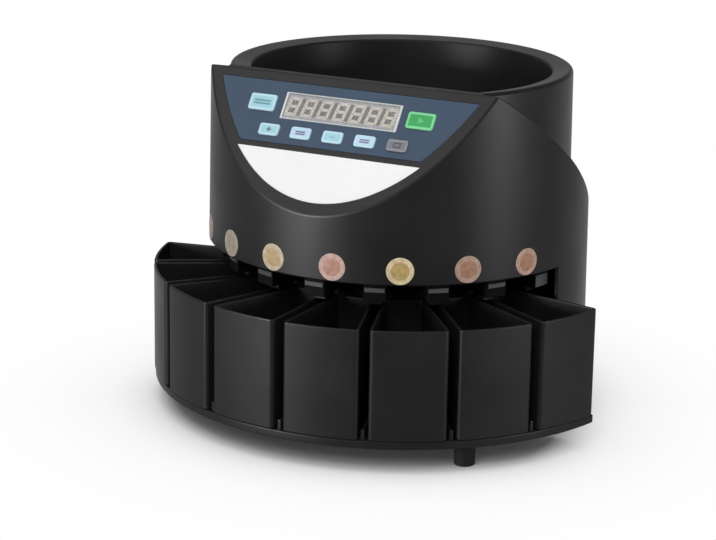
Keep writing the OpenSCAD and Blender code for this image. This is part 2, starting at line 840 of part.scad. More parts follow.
module drive_shaft() {
    color([0.72, 0.73, 0.75]) on_axis() difference() {
        translate([0, 0, plate_z - 5]) cylinder(h = track_top + 16 - plate_z + 5, r = shaft_r);
        translate([0, 0, track_top + 6]) cylinder(h = 12, r = screw_r);
    }
}

module thrust_collar() {
    color([0.60, 0.61, 0.63]) on_axis() translate([0, 0, collar_z]) tube(shaft_r + 4, shaft_r, collar_h);
}

module turntable_gear() {
    color([0.86, 0.85, 0.80]) on_axis() difference() {
        union() {
            translate([0, 0, gear_z]) linear_extrude(gear_w) gear_outline(gear_teeth);
            translate([0, 0, gear_z - gear_hub]) cylinder(h = gear_hub + 1, r = shaft_r + 6);
        }
        translate([0, 0, gear_z - gear_hub - 1]) cylinder(h = gear_w + gear_hub + 2, r = shaft_r);
        for (a = [0:60:300]) rotate([0, 0, a]) translate([gear_pitch_r * 0.56, 0, gear_z - 1])
            cylinder(h = gear_w + 2, r = gear_pitch_r * 0.18);
    }
}

module drive_pinion() {
    color([0.86, 0.85, 0.80]) on_axis() translate([0, motor_y, 0]) rotate([0, 0, 180 / pinion_teeth]) difference() {
        union() {
            translate([0, 0, gear_z - 0.5]) linear_extrude(gear_w + 1) gear_outline(pinion_teeth);
            translate([0, 0, gear_z - 6]) cylinder(h = 6, r = motor_shaft_r + 4);
        }
        translate([0, 0, gear_z - 7]) cylinder(h = gear_w + 10, r = motor_shaft_r);
    }
}

module motor_shaft() {
    color([0.72, 0.73, 0.75]) on_axis() translate([0, motor_y, plate_z - 14])
        cylinder(h = gear_z + gear_w + 2 - plate_z + 14, r = motor_shaft_r);
}

module turntable_disc() {
    color([0.50, 0.51, 0.53]) on_axis() difference() {
        union() {
            translate([0, 0, disc_z]) cylinder(h = disc_t, r = disc_r);
            for (a = [0:30:330]) rotate([0, 0, a])
                translate([36, -1.5, track_top - 0.5]) cube([disc_r - 46, 3, 1.3]);
        }
        translate([0, 0, disc_z - 1]) cylinder(h = disc_t + 2, r = shaft_r);
    }
}

module disc_hub() {
    color([0.60, 0.61, 0.63]) on_axis() translate([0, 0, track_top]) tube(shaft_r + 9, shaft_r, 7);
}

module disc_cone() {
    color([0.12, 0.12, 0.125]) on_axis() translate([0, 0, track_top]) rotate_extrude() polygon([
        [shaft_r + 9.4, 0], [32, 0], [31, 4], [12, 20], [9, 22], [screw_r + 0.1, 22],
        [screw_r + 0.1, 16], [shaft_r, 16], [shaft_r, 7.4], [shaft_r + 9.4, 7.4]
    ]);
}

module cone_screw() {
    color([0.62, 0.63, 0.65]) on_axis() translate([0, 0, track_top + 22]) raised_screw(14);
}

// Power pieces

module rear_cover() {
    color([0.11, 0.11, 0.115]) on_axis() difference() {
        translate([-cover_x, rear_face, cover_low]) cube([2 * cover_x, cover_t, cover_high - cover_low]);
        translate([inlet_x, rear_face, rear_mid]) rotate([-90, 0, 0]) translate([0, 0, -1])
            block(inlet_w + 2 * set_clear, inlet_h + 2 * set_clear, cover_t + 2);
        translate([switch_x, rear_face, rear_mid]) rotate([-90, 0, 0]) translate([0, 0, -1])
            block(switch_w + 2 * set_clear, switch_h + 2 * set_clear, cover_t + 2);
        at_cover_screws() translate([0, 0, -5]) cylinder(h = 10, r = screw_r + 0.1);
    }
}

module rear_cover_screws() {
    color([0.62, 0.63, 0.65]) on_axis() at_cover_screws() raised_screw(8);
}

module power_inlet() {
    color([0.07, 0.07, 0.075]) on_axis() translate([inlet_x, cover_y, rear_mid]) rotate([-90, 0, 0]) difference() {
        union() {
            block(31, 24, bezel_t);
            translate([0, 0, -22]) block(inlet_w, inlet_h, 22);
        }
        translate([0, 0, -18]) block(inlet_w - 3, inlet_h - 3.6, 30);
        for (p = [[-7, 2], [7, 2], [0, -2]]) translate([p[0], p[1], -23]) block(2, 4, 10);
    }
}

module inlet_pins() {
    color([0.74, 0.70, 0.58]) on_axis() translate([inlet_x, cover_y, rear_mid]) rotate([-90, 0, 0])
        for (p = [[-7, 2], [7, 2], [0, -2]]) translate([p[0], p[1], -29]) block(2, 4, 29 - 2.6);
}

module switch_frame() {
    color([0.07, 0.07, 0.075]) on_axis() translate([switch_x, 0, rear_mid]) difference() {
        translate([0, cover_y, 0]) rotate([-90, 0, 0]) {
            block(22, 30, bezel_t);
            translate([0, 0, -18]) block(switch_w, switch_h, 18);
        }
        translate([0, cover_y, 0]) rotate([-90, 0, 0]) translate([0, 0, -15.5]) block(15, 23, 30);
        translate([-8.4, rocker_y, 0]) rotate([0, 90, 0]) cylinder(h = 16.8, r = rocker_pin_r + run_clear);
    }
}

module switch_rocker() {
    color([0.55, 0.07, 0.06]) on_axis() translate([switch_x, rocker_y, rear_mid]) rotate([-rocker_tilt, 0, 0]) {
        translate([-rocker_w / 2, 0, 0]) rotate([90, 0, 90]) linear_extrude(rocker_w)
            polygon([[7, -10], [5, 0], [7, 10], [2, 10.4], [-4, 4], [-4, -4], [2, -10.4]]);
        translate([-8.2, 0, 0]) rotate([0, 90, 0]) cylinder(h = 16.4, r = rocker_pin_r);
    }
}

module power_board() {
    color([0.12, 0.30, 0.18]) on_axis() translate([0, 0, base_top + board_h]) {
        translate([-72, 62, 0]) cube([46, 50, 1.6]);
        translate([-60, 78, 1.6]) cylinder(h = 24, r = 8);
        translate([-38, 78, 1.6]) cylinder(h = 20, r = 6);
        translate([-66, 96, 1.6]) cube([30, 10, 14]);
    }
}

module transformer_core() {
    color([0.34, 0.35, 0.37]) on_axis() translate([49, 88, base_top]) difference() {
        translate([0, 0, 0]) block(46, 20, 40);
        for (s = [-1, 1]) translate([s * 14, 0, 8]) block(8, 22, 24);
    }
}

module transformer_coil() {
    color([0.62, 0.42, 0.16]) on_axis() translate([49, 88, base_top + 8.2]) difference() {
        block(35.6, 36, 23.6);
        translate([0, 0, -1]) block(20, 20, 26);
    }
}

base_pan();
rubber_feet();
foot_screws();
cowl();
cowl_screws();
hopper_bowl();
rear_cover();
rear_cover_screws();
power_inlet();
inlet_pins();
switch_frame();
switch_rocker();
keypad_film();
badge_plate();
display_window();
display_module();
control_board();
key_switches();
board_screws();
coin_markers();
deck_plate();
deck_posts();
frame_screws();
sorting_track();
chute_ring();
coin_sensors();
upper_bush();
lower_bush();
motor_plate();
plate_standoffs();
gearhead();
drive_motor();
motor_screws();
power_board();
transformer_core();
transformer_coil();
turntable_disc();
disc_hub();
disc_cone();
cone_screw();
drive_shaft();
turntable_gear();
thrust_collar();
drive_pinion();
motor_shaft();
coin_cup_1();
coin_cup_2();
coin_cup_3();
coin_cup_4();
coin_cup_5();
coin_cup_6();
coin_cup_7();
coin_cup_8();
mode_key();
start_key();
small_key_1();
small_key_2();
small_key_3();
small_key_4();
small_key_5();
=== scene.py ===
import json
import math
from contextlib import contextmanager

import bmesh
import bpy
from mathutils import Matrix, Vector


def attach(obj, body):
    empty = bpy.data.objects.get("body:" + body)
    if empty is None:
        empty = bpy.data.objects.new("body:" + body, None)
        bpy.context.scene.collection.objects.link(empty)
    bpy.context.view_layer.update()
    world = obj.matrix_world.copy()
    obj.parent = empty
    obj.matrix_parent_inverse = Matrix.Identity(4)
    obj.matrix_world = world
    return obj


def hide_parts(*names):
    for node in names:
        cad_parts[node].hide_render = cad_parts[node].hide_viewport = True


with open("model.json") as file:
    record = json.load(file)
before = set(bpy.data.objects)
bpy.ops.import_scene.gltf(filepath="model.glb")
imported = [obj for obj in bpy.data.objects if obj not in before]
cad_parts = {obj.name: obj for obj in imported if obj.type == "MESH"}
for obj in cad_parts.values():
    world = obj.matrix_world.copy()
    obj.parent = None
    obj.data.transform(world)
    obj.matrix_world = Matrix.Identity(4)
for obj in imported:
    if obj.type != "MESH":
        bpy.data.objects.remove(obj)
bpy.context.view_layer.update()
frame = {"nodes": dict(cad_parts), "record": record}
scene = bpy.context.scene
BODY = {n: b for b, names in frame["record"]["behaviour"]["bodies"].items() for n in names}

# Sizes repeated from the CAD source, in millimetres; x and y are measured from the hopper axis
AXIS_Y = 17.0
RIM_H, RIM_W = 254.0, 15.0
BASE_LOW, BASE_TOP, BASE_HALF = 17.6, 23.6, math.radians(77.8)
RIB_W, RIB_H = 3.0, 7.0
BOARD_LEGS, LEG_R, LEG_H = ((-68, 66), (-30, 66), (-68, 108), (-30, 108)), 3.0, 6.4
FOOT_PLACES = ((-137.54, -89.32), (113.92, -117.97), (-78, 100), (78, 100))
POST_RING, POST_ANGLES = 90.0, (-125, -60, 0, 60, 125)
BOSS_RING, BOSS_ANGLES = 135.0, (-135, -95, 95, 135)
COWL_R, COWL_TAPER, COWL_WALL = 142.0, 2.5, 2.6
FRONT_EDGE, WINDOW_HALF = 122.8, math.radians(81.0)
SHOULDER_TILT, SHOULDER_LOW = math.radians(36.5), 136.0
RIDGE_BACK, RIDGE_HALF = -75.3, 100.92
REAR_BOX_X, REAR_BOX_H, REAR_BOX_FRONT = 55.0, 95.0, 60.0
REAR_HOLE_X, REAR_HOLE_Z = 42.0, (34.0, 80.0)
REAR_FACE, COVER_Y, REAR_MID = 143.5, 145.5, 57.0
COVER_SCREW_X, COVER_SCREW_Z = 46.0, (31.0, 83.0)
SWITCH_X, ROCKER_Y, ROCKER_TILT = 25.0, 138.5, math.radians(8)
DRUM_FOOT_R, HOPPER_R, HOPPER_WALL, DRUM_CLEAR = 127.0, 125.5, 2.6, 0.4
FENCE_R, FENCE_H, FLANGE_R = 124.4, 20.0, 134.0
DECK_TOP, TRACK_TOP, THROAT_Z, THROAT_R = 127.0, 130.0, 134.0, 90.0
WALL_IN, WALL_OUT = -72.0, -74.6
CONE_H, MOTOR_Y, PLATE_TOP, MOTOR_SCREW_R = 22.0, 60.0, 87.0, 13.5
CUPS, CUP_PITCH = 8, math.radians(19.6)
RING_R, CUP_IN_R, CUP_Z, CUP_TOP, CUP_GAP = 182.0, 102.0, 23.8, 102.8, 7.0
PANEL_Y, PANEL_TILT, PANEL_WALL = -80.0, math.radians(54.7), 3.0
PANEL_MID_R = 140.06
FILM_R, FILM_TOP, FILM_END, FILM_DEPTH = PANEL_MID_R - 7.5, 7.3, 55.0, 0.6
BADGE_R, BADGE_TOP, BADGE_DEPTH = PANEL_MID_R - 5.0, 58.9, 0.8
DISPLAY_V, DISPLAY_W, DISPLAY_H = 25.2, 92.3, 20.7
BIG_KEY_U, BIG_KEY = 62.7, (21.1, 12.7)
SMALL_KEY_PITCH, SMALL_KEY_V, SMALL_KEY = 25.4, 45.4, (16.0, 9.0)
BOARD_SCREWS, BOARD_BACK = ((-80, 18.5), (80, 18.5), (-72, 50), (72, 50)), -13.6
KEY_CLEAR, SET_CLEAR = 0.4, 0.2
SCREW_R, HEAD_R, HEAD_H = 1.5, 3.0, 2.2
COIN_R, COIN_RISE, COIN_TURN = 9.75, 10.9, math.radians(-2.2)

# Points round a large, a middle and a small circle, and steps round a corner
ROUND, MIDDLE_ROUND, SMALL_ROUND, CORNER_STEPS = 240, 64, 32, 6
# Where cutters end, well outside the machine, and how near to a place an edge is picked
FAR, HIGH, PANEL_REACH, NEAR = 300.0, 400.0, 200.0, 0.1

TO_ROW = Matrix.Translation((0, AXIS_Y / 1000, 0)) @ Matrix.Scale(0.001, 4)
ON_PANEL = Matrix.Translation((0, PANEL_Y, RIM_H)) @ Matrix.Rotation(PANEL_TILT, 4, "X")
OFF_PANEL = ON_PANEL.inverted()
ALONG_X = Matrix(((0, 0, 1, 0), (1, 0, 0, 0), (0, 1, 0, 0), (0, 0, 0, 1)))
DOWN = Matrix.Rotation(math.pi, 4, "X")
BACKWARD = Matrix.Rotation(-math.pi / 2, 4, "X")


def linked(name, data):
    ob = bpy.data.objects.new(name, data)
    scene.collection.objects.link(ob)
    return ob


# Camera, solved from the cup ring and the hopper rim in the photograph
def make_camera():
    az, el, roll = math.radians(27.443), math.radians(15.52), math.radians(0.964)
    place = Vector((755.17, -1518.39 + AXIS_Y, 566.05)) / 1000
    photo_w, focal_pixels, sensor_w = 716, 2343.278, 36
    forward = Vector((-math.sin(az) * math.cos(el), math.cos(az) * math.cos(el), -math.sin(el)))
    right = forward.cross(Vector((0, 0, 1))).normalized()
    up = right.cross(forward)
    data = bpy.data.cameras.new("camera")
    data.sensor_width = sensor_w
    data.lens = focal_pixels * sensor_w / photo_w
    data.clip_end = 50
    camera = linked("camera", data)
    turned = Matrix((
        right * math.cos(roll) + up * math.sin(roll),
        up * math.cos(roll) - right * math.sin(roll),
        -forward,
    )).transposed().to_4x4()
    turned.translation = place
    camera.matrix_world = turned
    scene.camera = camera


make_camera()


# Places
def polar(r, a):
    """A point round the hopper axis; the angle starts at the front and grows towards +x."""
    return r * math.sin(a), -r * math.cos(a)


def turns(n):
    return [2 * math.pi * i / n for i in range(n)]


def at(x, y, z):
    return Matrix.Translation((x, y, z))


def spin(a):
    return Matrix.Rotation(a, 4, "Z")


def round_at(r, degrees, z):
    return at(*polar(r, math.radians(degrees)), z)


def moved(ob, place):
    ob.data.transform(place)
    return ob


# Shapes in millimetres
@contextmanager
def editing(mesh):
    bm = bmesh.new()
    bm.from_mesh(mesh)
    yield bm
    bm.to_mesh(mesh)
    bm.free()


def mesh_object(name, verts, faces):
    mesh = bpy.data.meshes.new(name)
    mesh.from_pydata([tuple(float(c) for c in v) for v in verts], [], faces)
    with editing(mesh) as bm:
        bmesh.ops.recalc_face_normals(bm, faces=bm.faces)
    return linked(name, mesh)


def band(n, low, high):
    """Faces between two rings of n points, given by their numbers."""
    return [(low * n + i, low * n + (i + 1) % n, high * n + (i + 1) % n, high * n + i) for i in range(n)]


def loft(name, rings, cap=True):
    """A closed solid through rings of the same number of points, with flat ends."""
    n, last = len(rings[0]), len(rings) - 1
    faces = [face for k in range(last) for face in band(n, k, k + 1)]
    if cap:
        faces += [tuple(range(n)), tuple(last * n + i for i in range(n))]
    return mesh_object(name, [p for ring in rings for p in ring], faces)


def circle(r, z, n=ROUND):
    return [(*polar(r, a), z) for a in turns(n)]


def frustum(name, r1, r2, z1, z2, n=ROUND):
    return loft(name, [circle(r1, z1, n), circle(r2, z2, n)])


def revolve(name, profile, n=ROUND):
    """A solid of revolution from a closed outline of radius and height."""
    verts = [p for r, z in profile for p in circle(max(r, 1e-9), z, n)]
    faces = []
    for k in range(len(profile)):
        following = (k + 1) % len(profile)
        if profile[k][0] > 0 or profile[following][0] > 0:
            faces += band(n, k, following)
    return cleaned(mesh_object(name, verts, faces))


def prism(name, outline, low, high, place=Matrix.Identity(4)):
    return loft(name, [[place @ Vector((x, y, z)) for x, y in outline] for z in (low, high)])


def block(name, low, high, place=Matrix.Identity(4)):
    (x0, y0, z0), (x1, y1, z1) = low, high
    return prism(name, [(x0, y0), (x1, y0), (x1, y1), (x0, y1)], z0, z1, place)


def rounded(w, h, r, n=CORNER_STEPS):
    """Outline of a rectangle with round corners."""
    points = []
    for k, (sx, sy) in enumerate(((1, 1), (-1, 1), (-1, -1), (1, -1))):
        for i in range(n + 1):
            a = math.pi / 2 * (k + i / n)
            points.append((sx * (w / 2 - r) + r * math.cos(a), sy * (h / 2 - r) + r * math.sin(a)))
    return points


def stack(w, h, r, levels, place, least=0.05):
    """Round-cornered outlines, one above another; each level is a height and an inset."""
    rings = []
    for z, inset in levels:
        outline = rounded(w - 2 * inset, h - 2 * inset, max(r - inset, least))
        rings.append([place @ Vector((x, y, z)) for x, y in outline])
    return rings


def curve(points, steps):
    """A closed polyline with each corner that has a radius, (x, y, radius), replaced by an arc."""
    result = []
    for k, p in enumerate(points):
        if len(p) < 3:
            result.append(p)
            continue
        tip = Vector(p[:2])
        before, after = Vector(points[k - 1][:2]), Vector(points[(k + 1) % len(points)][:2])
        u, v = (before - tip).normalized(), (after - tip).normalized()
        half = math.acos(max(-1, min(1, u.dot(v)))) / 2
        reach = p[2] / math.tan(half)
        middle = tip + (u + v).normalized() * (p[2] / math.sin(half))
        a, b = tip + u * reach - middle, tip + v * reach - middle
        turn = math.atan2(a.x * b.y - a.y * b.x, a.dot(b))
        for i in range(steps + 1):
            c, s = math.cos(turn * i / steps), math.sin(turn * i / steps)
            result.append((middle.x + a.x * c - a.y * s, middle.y + a.x * s + a.y * c))
    return result


def cleaned(ob, dist=1e-4):
    with editing(ob.data) as bm:
        bmesh.ops.remove_doubles(bm, verts=bm.verts, dist=dist)
        bmesh.ops.dissolve_degenerate(bm, edges=bm.edges, dist=dist)
        bmesh.ops.recalc_face_normals(bm, faces=bm.faces)
    return ob


def combine(ob, operation, others):
    """Exact booleans of a solid with others, which are used up."""
    for other in others:
        modifier = ob.modifiers.new("combine", "BOOLEAN")
        modifier.operation, modifier.object, modifier.solver = operation, other, "EXACT"
        graph = bpy.context.evaluated_depsgraph_get()
        made = bpy.data.meshes.new_from_object(ob.evaluated_get(graph))
        ob.modifiers.clear()
        ob.data = made
        bpy.data.objects.remove(other)
        cleaned(ob)
    return ob


def cut(ob, *others):
    return combine(ob, "DIFFERENCE", others)


def add(ob, *others):
    return combine(ob, "UNION", others)


def common(ob, *others):
    return combine(ob, "INTERSECT", others)


def joined(name, objects):
    """One mesh of several separate solids."""
    bm = bmesh.new()
    for ob in objects:
        bm.from_mesh(ob.data)
        bpy.data.objects.remove(ob)
    mesh = bpy.data.meshes.new(name)
    bm.to_mesh(mesh)
    bm.free()
    return linked(name, mesh)


def soften(ob, width, angle, segments, pick=lambda middle: True):
    """Rounds the convex edges whose middle is picked."""
    limit = math.radians(angle)
    with editing(ob.data) as bm:
        edges = [
            e for e in bm.edges
            if e.is_manifold and e.is_convex and e.calc_face_angle(0) > limit
            and pick((e.verts[0].co + e.verts[1].co) / 2)
        ]
        bmesh.ops.bevel(
            bm, geom=edges, offset=width, offset_type="OFFSET", segments=segments, profile=0.5,
            affect="EDGES", clamp_overlap=False, loop_slide=True,
        )
    return cleaned(ob, 1e-5)


def dress(ob, body, slot, materials, *nodes, smooth=32):
    """Smooth shading with crisp flats, materials, and the body and nodes that the piece belongs to."""
    ob.data.shade_smooth()
    ob.data.set_sharp_from_angle(angle=math.radians(smooth))
    ob.modifiers.new("normals", "WEIGHTED_NORMAL").keep_sharp = True
    for m in materials if isinstance(materials, list) else [materials]:
        ob.data.materials.append(m)
    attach(ob, body)
    if nodes:
        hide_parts(*nodes)


def piece(ob, body, slot, materials, *nodes, smooth=32):
    ob.data.transform(TO_ROW)
    dress(ob, body, slot, materials, *nodes, smooth=smooth)


# Materials
def linear(*rgb):
    return tuple((c / 255 / 12.92) if c <= 10 else ((c / 255 + 0.055) / 1.055) ** 2.4 for c in rgb)


def shade(colour, factor):
    return tuple(min(1.0, c * factor) for c in colour[:3]) + (1,)


class Paint:
    """A node material with one Principled shader, and short calls for its parts."""

    def __init__(self, name, rough=0.5, specular=0.5, metallic=0.0):
        self.material = bpy.data.materials.new(name)
        self.material.use_nodes = True
        self.tree = self.material.node_tree
        self.shader = self.tree.nodes["Principled BSDF"]
        self.shader.inputs["Roughness"].default_value = rough
        self.shader.inputs["Specular IOR Level"].default_value = specular
        self.shader.inputs["Metallic"].default_value = metallic
        self.place = self.node("ShaderNodeTexCoord").outputs["Object"]

    def node(self, kind, **settings):
        made = self.tree.nodes.new(kind)
        for key, value in settings.items():
            setattr(made, key, value)
        return made

    def link(self, source, target):
        self.tree.links.new(source, target)

    def noise(self, scale, detail=3.0, vector=None):
        n = self.node("ShaderNodeTexNoise")
        n.inputs["Scale"].default_value = scale
        n.inputs["Detail"].default_value = detail
        self.link(vector or self.place, n.inputs["Vector"])
        return n.outputs["Fac"]

    def remap(self, value, low, high, from_low=0.3, from_high=0.7):
        n = self.node("ShaderNodeMapRange")
        limits = {"From Min": from_low, "From Max": from_high, "To Min": low, "To Max": high}
        for key, number in limits.items():
            n.inputs[key].default_value = number
        self.link(value, n.inputs["Value"])
        return n.outputs["Result"]

    def blend(self, factor, a, b):
        n = self.node("ShaderNodeMix", data_type="RGBA")
        self.link(factor, n.inputs["Factor"])
        n.inputs[6].default_value, n.inputs[7].default_value = a, b
        return n.outputs[2]

    def ramp(self, value, stops):
        n = self.node("ShaderNodeValToRGB")
        while len(n.color_ramp.elements) < len(stops):
            n.color_ramp.elements.new(0.5)
        for element, (position, colour) in zip(n.color_ramp.elements, stops):
            element.position, element.color = position, colour
        self.link(value, n.inputs["Fac"])
        return n.outputs["Color"]

    def math(self, operation, *values):
        n = self.node("ShaderNodeMath", operation=operation)
        for socket, value in zip(n.inputs, values):
            if isinstance(value, (int, float)):
                socket.default_value = value
            else:
                self.link(value, socket)
        return n.outputs[0]

    def mixed(self, a, share, b):
        """The weighted sum of two values."""
        return self.math("ADD", self.math("MULTIPLY", a, share), self.math("MULTIPLY", b, 1 - share))

    def from_axis(self):
        """Distances from the hopper axis: to the right, to the rear, upwards, and the radius."""
        parts = self.node("ShaderNodeSeparateXYZ")
        self.link(self.place, parts.inputs[0])
        x, y, z = parts.outputs
        y = self.math("SUBTRACT", y, AXIS_Y / 1000)
        squares = self.math("MULTIPLY", x, x), self.math("MULTIPLY", y, y)
        return x, y, z, self.math("SQRT", self.math("ADD", *squares))

    def round_axis(self, along, across):
        """Coordinates that run round the hopper axis: angle, radius and height, each scaled."""
        x, y, z, radius = self.from_axis()
        packed = self.node("ShaderNodeCombineXYZ")
        values = (self.math("ARCTAN2", x, y), along), (radius, across), (z, across)
        for socket, (value, scale) in zip(packed.inputs, values):
            self.link(self.math("MULTIPLY", value, scale), socket)
        return packed.outputs[0]

    def stretched(self, x, y, z):
        n = self.node("ShaderNodeMapping")
        n.inputs["Scale"].default_value = (x, y, z)
        self.link(self.place, n.inputs["Vector"])
        return n.outputs["Vector"]

    def bump(self, height, strength, distance):
        n = self.node("ShaderNodeBump")
        n.inputs["Strength"].default_value = strength
        n.inputs["Distance"].default_value = distance
        self.link(height, n.inputs["Height"])
        self.link(n.outputs["Normal"], self.shader.inputs["Normal"])

    def colour(self, socket):
        self.link(socket, self.shader.inputs["Base Color"])

    def roughness(self, socket):
        self.link(socket, self.shader.inputs["Roughness"])


def moulded(name, colour, rough, specular, vary=0.12, grain=1800, depth=0.00003, strength=0.35):
    """Moulded plastic: faint patches in colour and gloss over a fine spark-eroded grain."""
    p = Paint(name, rough, specular)
    patch_scale, patch_share, spread = 28, 0.7, 0.05
    patches = p.noise(patch_scale, 5)
    p.colour(p.blend(p.remap(patches, 0, 1), shade(colour, 1 - vary), shade(colour, 1 + vary)))
    fine = p.noise(grain, 2)
    p.roughness(p.remap(p.mixed(patches, patch_share, fine), rough - spread, rough + spread))
    p.bump(fine, strength, depth)
    return p.material


def turned_metal(name, colour, rough, round_lines=False, vary=0.12):
    """Sheet or turned metal with fine lines, along x or round the axis."""
    p = Paint(name, rough, metallic=1.0)
    fine_scale, patch_scale, line_share, spread = 4200, 35, 0.6, 0.08
    vector = p.round_axis(6, fine_scale) if round_lines else p.stretched(40, fine_scale, fine_scale)
    lines = p.noise(1.0, 3, vector)
    mix = p.mixed(lines, line_share, p.noise(patch_scale, 4))
    p.colour(p.blend(p.remap(mix, 0, 1), shade(colour, 1 - vary), shade(colour, 1 + vary)))
    p.roughness(p.remap(mix, rough - spread, rough + spread))
    p.bump(lines, 0.12, 0.00003)
    return p.material


def printed(name, colour, rough, vary):
    """Printed or painted plastic of the panel, with little sheen."""
    return moulded(name, colour, rough, 0.12, vary)


BLACK = moulded("black_plastic", (0.0112, 0.0113, 0.0117), 0.42, 0.07)
CUP = moulded("cup_plastic", (0.0120, 0.0121, 0.0125), 0.42, 0.07, grain=1500)
SATIN = moulded("satin_plastic", (0.006, 0.006, 0.0065), 0.3, 0.3, grain=3000)
RUBBER = moulded("rubber", (0.006, 0.006, 0.006), 0.75, 0.08, 0.25, 900, 0.00008, 0.5)
ROCKER = moulded("rocker_red", (0.42, 0.018, 0.014), 0.28, 0.5, grain=3000, depth=0.00001)
# The chute ring's blocks are painted near black as painted shade from the cowl's overhang; their own grey is
# kept only on the lips in front of them.
CHUTE_SHADE_BLACK = moulded("chute_painted_shade", (0.005, 0.005, 0.0055), 0.65, 0.02)
LIP = moulded("chute_lip_grey", (0.14, 0.145, 0.15), 0.6, 0.1)
NYLON = moulded("gear_nylon", (0.70, 0.68, 0.61), 0.45, 0.5, 0.06, 900)
FILM = moulded("film_blue", (0.040, 0.068, 0.112), 0.45, 0.06, 0.10, 2600, 0.00002)
BADGE = moulded("badge_white", (0.86, 0.86, 0.86), 0.40, 0.12, 0.02, 2600, 0.00001)
FRAME = moulded("display_frame", (0.60, 0.61, 0.61), 0.45, 0.12, 0.05, 2200, 0.00001)
FIELD = moulded("display_field", (0.36, 0.355, 0.37), 0.45, 0.12, 0.06, 2200, 0.00001)
COUNTER = printed("display_counter", (0.12, 0.095, 0.07), 0.5, 0.10)
SEGMENT = printed("display_segment", (0.64, 0.61, 0.51), 0.5, 0.05)
POINT = printed("display_point", (0.13, 0.10, 0.08), 0.5, 0.12)
KEY_PALE = printed("key_rim_pale", (0.49, 0.73, 0.84), 0.45, 0.05)
KEY_CYAN = printed("key_cyan", (0.34, 0.62, 0.70), 0.48, 0.06)
KEY_WHITE = printed("key_white", (0.54, 0.65, 0.85), 0.48, 0.05)
KEY_MINT = printed("key_rim_mint", (0.19, 0.62, 0.30), 0.45, 0.06)
KEY_GREEN = printed("key_green", (0.024, 0.33, 0.078), 0.45, 0.08)
KEY_GREY = printed("key_rim_grey", (0.22, 0.23, 0.265), 0.48, 0.06)
KEY_DARK = printed("key_field_grey", (0.16, 0.167, 0.19), 0.5, 0.08)
INK = printed("ink_slate", (0.10, 0.15, 0.23), 0.5, 0.15)
INK_TEAL = printed("ink_teal", (0.15, 0.32, 0.38), 0.5, 0.10)
INK_SOFT = printed("ink_soft", (0.26, 0.50, 0.58), 0.5, 0.10)
INK_DARK = printed("ink_dark", (0.06, 0.063, 0.075), 0.5, 0.10)
INK_GREEN = printed("ink_green", (0.10, 0.48, 0.18), 0.5, 0.08)
INK_WHITE = moulded("ink_white", (0.75, 0.75, 0.74), 0.5, 0.4, 0.06)
STEEL = turned_metal("steel", (0.56, 0.57, 0.58), 0.3)
ZINC = turned_metal("zinc_plate", (0.42, 0.43, 0.44), 0.42)
# Black oxide steel of the deck posts and the deck plate, made darker than the finish as painted shade, so the
# parts seen through the gaps under the cowl stay as dark as the shade there.
OXIDE_AND_SHADE = turned_metal("black_oxide_and_shade", (0.012, 0.012, 0.013), 0.6)
TRACK = turned_metal("track_plate", (0.34, 0.345, 0.35), 0.45, True)
DISC = turned_metal("disc_plate", (0.30, 0.305, 0.31), 0.45, True)
MOTOR = turned_metal("motor_can", (0.36, 0.37, 0.38), 0.4)
CORE = turned_metal("core_steel", (0.20, 0.20, 0.21), 0.55, vary=0.3)
BRASS = turned_metal("brass", (0.62, 0.44, 0.18), 0.32)


def board_paint():
    """Solder mask with copper runs under it."""
    p = Paint("board_green", 0.35)
    mask, copper = (0.012, 0.10, 0.035, 1), (0.03, 0.19, 0.07, 1)
    runs = p.node("ShaderNodeTexBrick")
    settings = {
        "Scale": 260, "Mortar Size": 0.06, "Color1": mask, "Color2": shade(mask, 1.3), "Mortar": copper,
    }
    for name, value in settings.items():
        runs.inputs[name].default_value = value
    p.link(p.place, runs.inputs["Vector"])
    p.colour(runs.outputs["Color"])
    p.roughness(p.remap(p.noise(120), 0.28, 0.42))
    p.bump(runs.outputs["Fac"], 0.2, 0.00003)
    return p.material


def coil_paint():
    """Wound enamelled wire under tape."""
    p = Paint("coil", 0.35)
    wires = p.node("ShaderNodeTexWave", bands_direction="Z")
    wires.inputs["Scale"].default_value = 700
    wires.inputs["Distortion"].default_value = 0.6
    p.link(p.place, wires.inputs["Vector"])
    p.colour(p.blend(wires.outputs["Fac"], (0.14, 0.055, 0.012, 1), (0.46, 0.22, 0.05, 1)))
    p.roughness(p.remap(p.noise(200), 0.25, 0.45))
    p.bump(wires.outputs["Fac"], 0.4, 0.0001)
    return p.material


def lens_paint():
    """Clear window over the display, a little smoked."""
    p = Paint("lens", 0.12, 0.3)
    p.shader.inputs["Alpha"].default_value = 0.12
    p.colour(p.blend(p.remap(p.noise(40), 0, 1), (0.30, 0.31, 0.34, 1), (0.36, 0.37, 0.40, 1)))
    p.roughness(p.remap(p.noise(300), 0.10, 0.18))
    return p.material


def coin_paint(name, colour):
    """Struck metal with faint stains and a fine grain."""
    p = Paint(name, specular=0.1)
    stain = p.noise(320, 4)
    p.colour(p.blend(p.remap(stain, 0, 1), shade(colour, 0.78), shade(colour, 1.12)))
    p.roughness(p.remap(stain, 0.44, 0.58))
    p.bump(p.noise(1400, 3), 0.3, 0.00006)
    return p.material


BOARD, COIL, LENS = board_paint(), coil_paint(), lens_paint()
# middle and rim of each coin marker, from the left
COIN_COLOURS = (
    ((212, 180, 120), (196, 190, 178)), ((176, 164, 156), (170, 156, 148)),
    ((184, 172, 152), (192, 182, 166)), ((212, 183, 133), (226, 207, 174)),
    ((203, 151, 132), (220, 186, 172)), ((200, 171, 110), (229, 211, 172)),
    ((175, 130, 107), (188, 157, 141)), ((184, 136, 109), (200, 165, 147)),
)
COINS = [
    [coin_paint(f"coin_{i + 1}_{part}", linear(*rgb)) for part, rgb in zip(("middle", "rim"), pair)]
    for i, pair in enumerate(COIN_COLOURS)
]


# Cowl with console, shoulder and rear box
def cowl_r(z):
    return COWL_R - COWL_TAPER * (z - BASE_TOP) / (RIM_H - BASE_TOP)


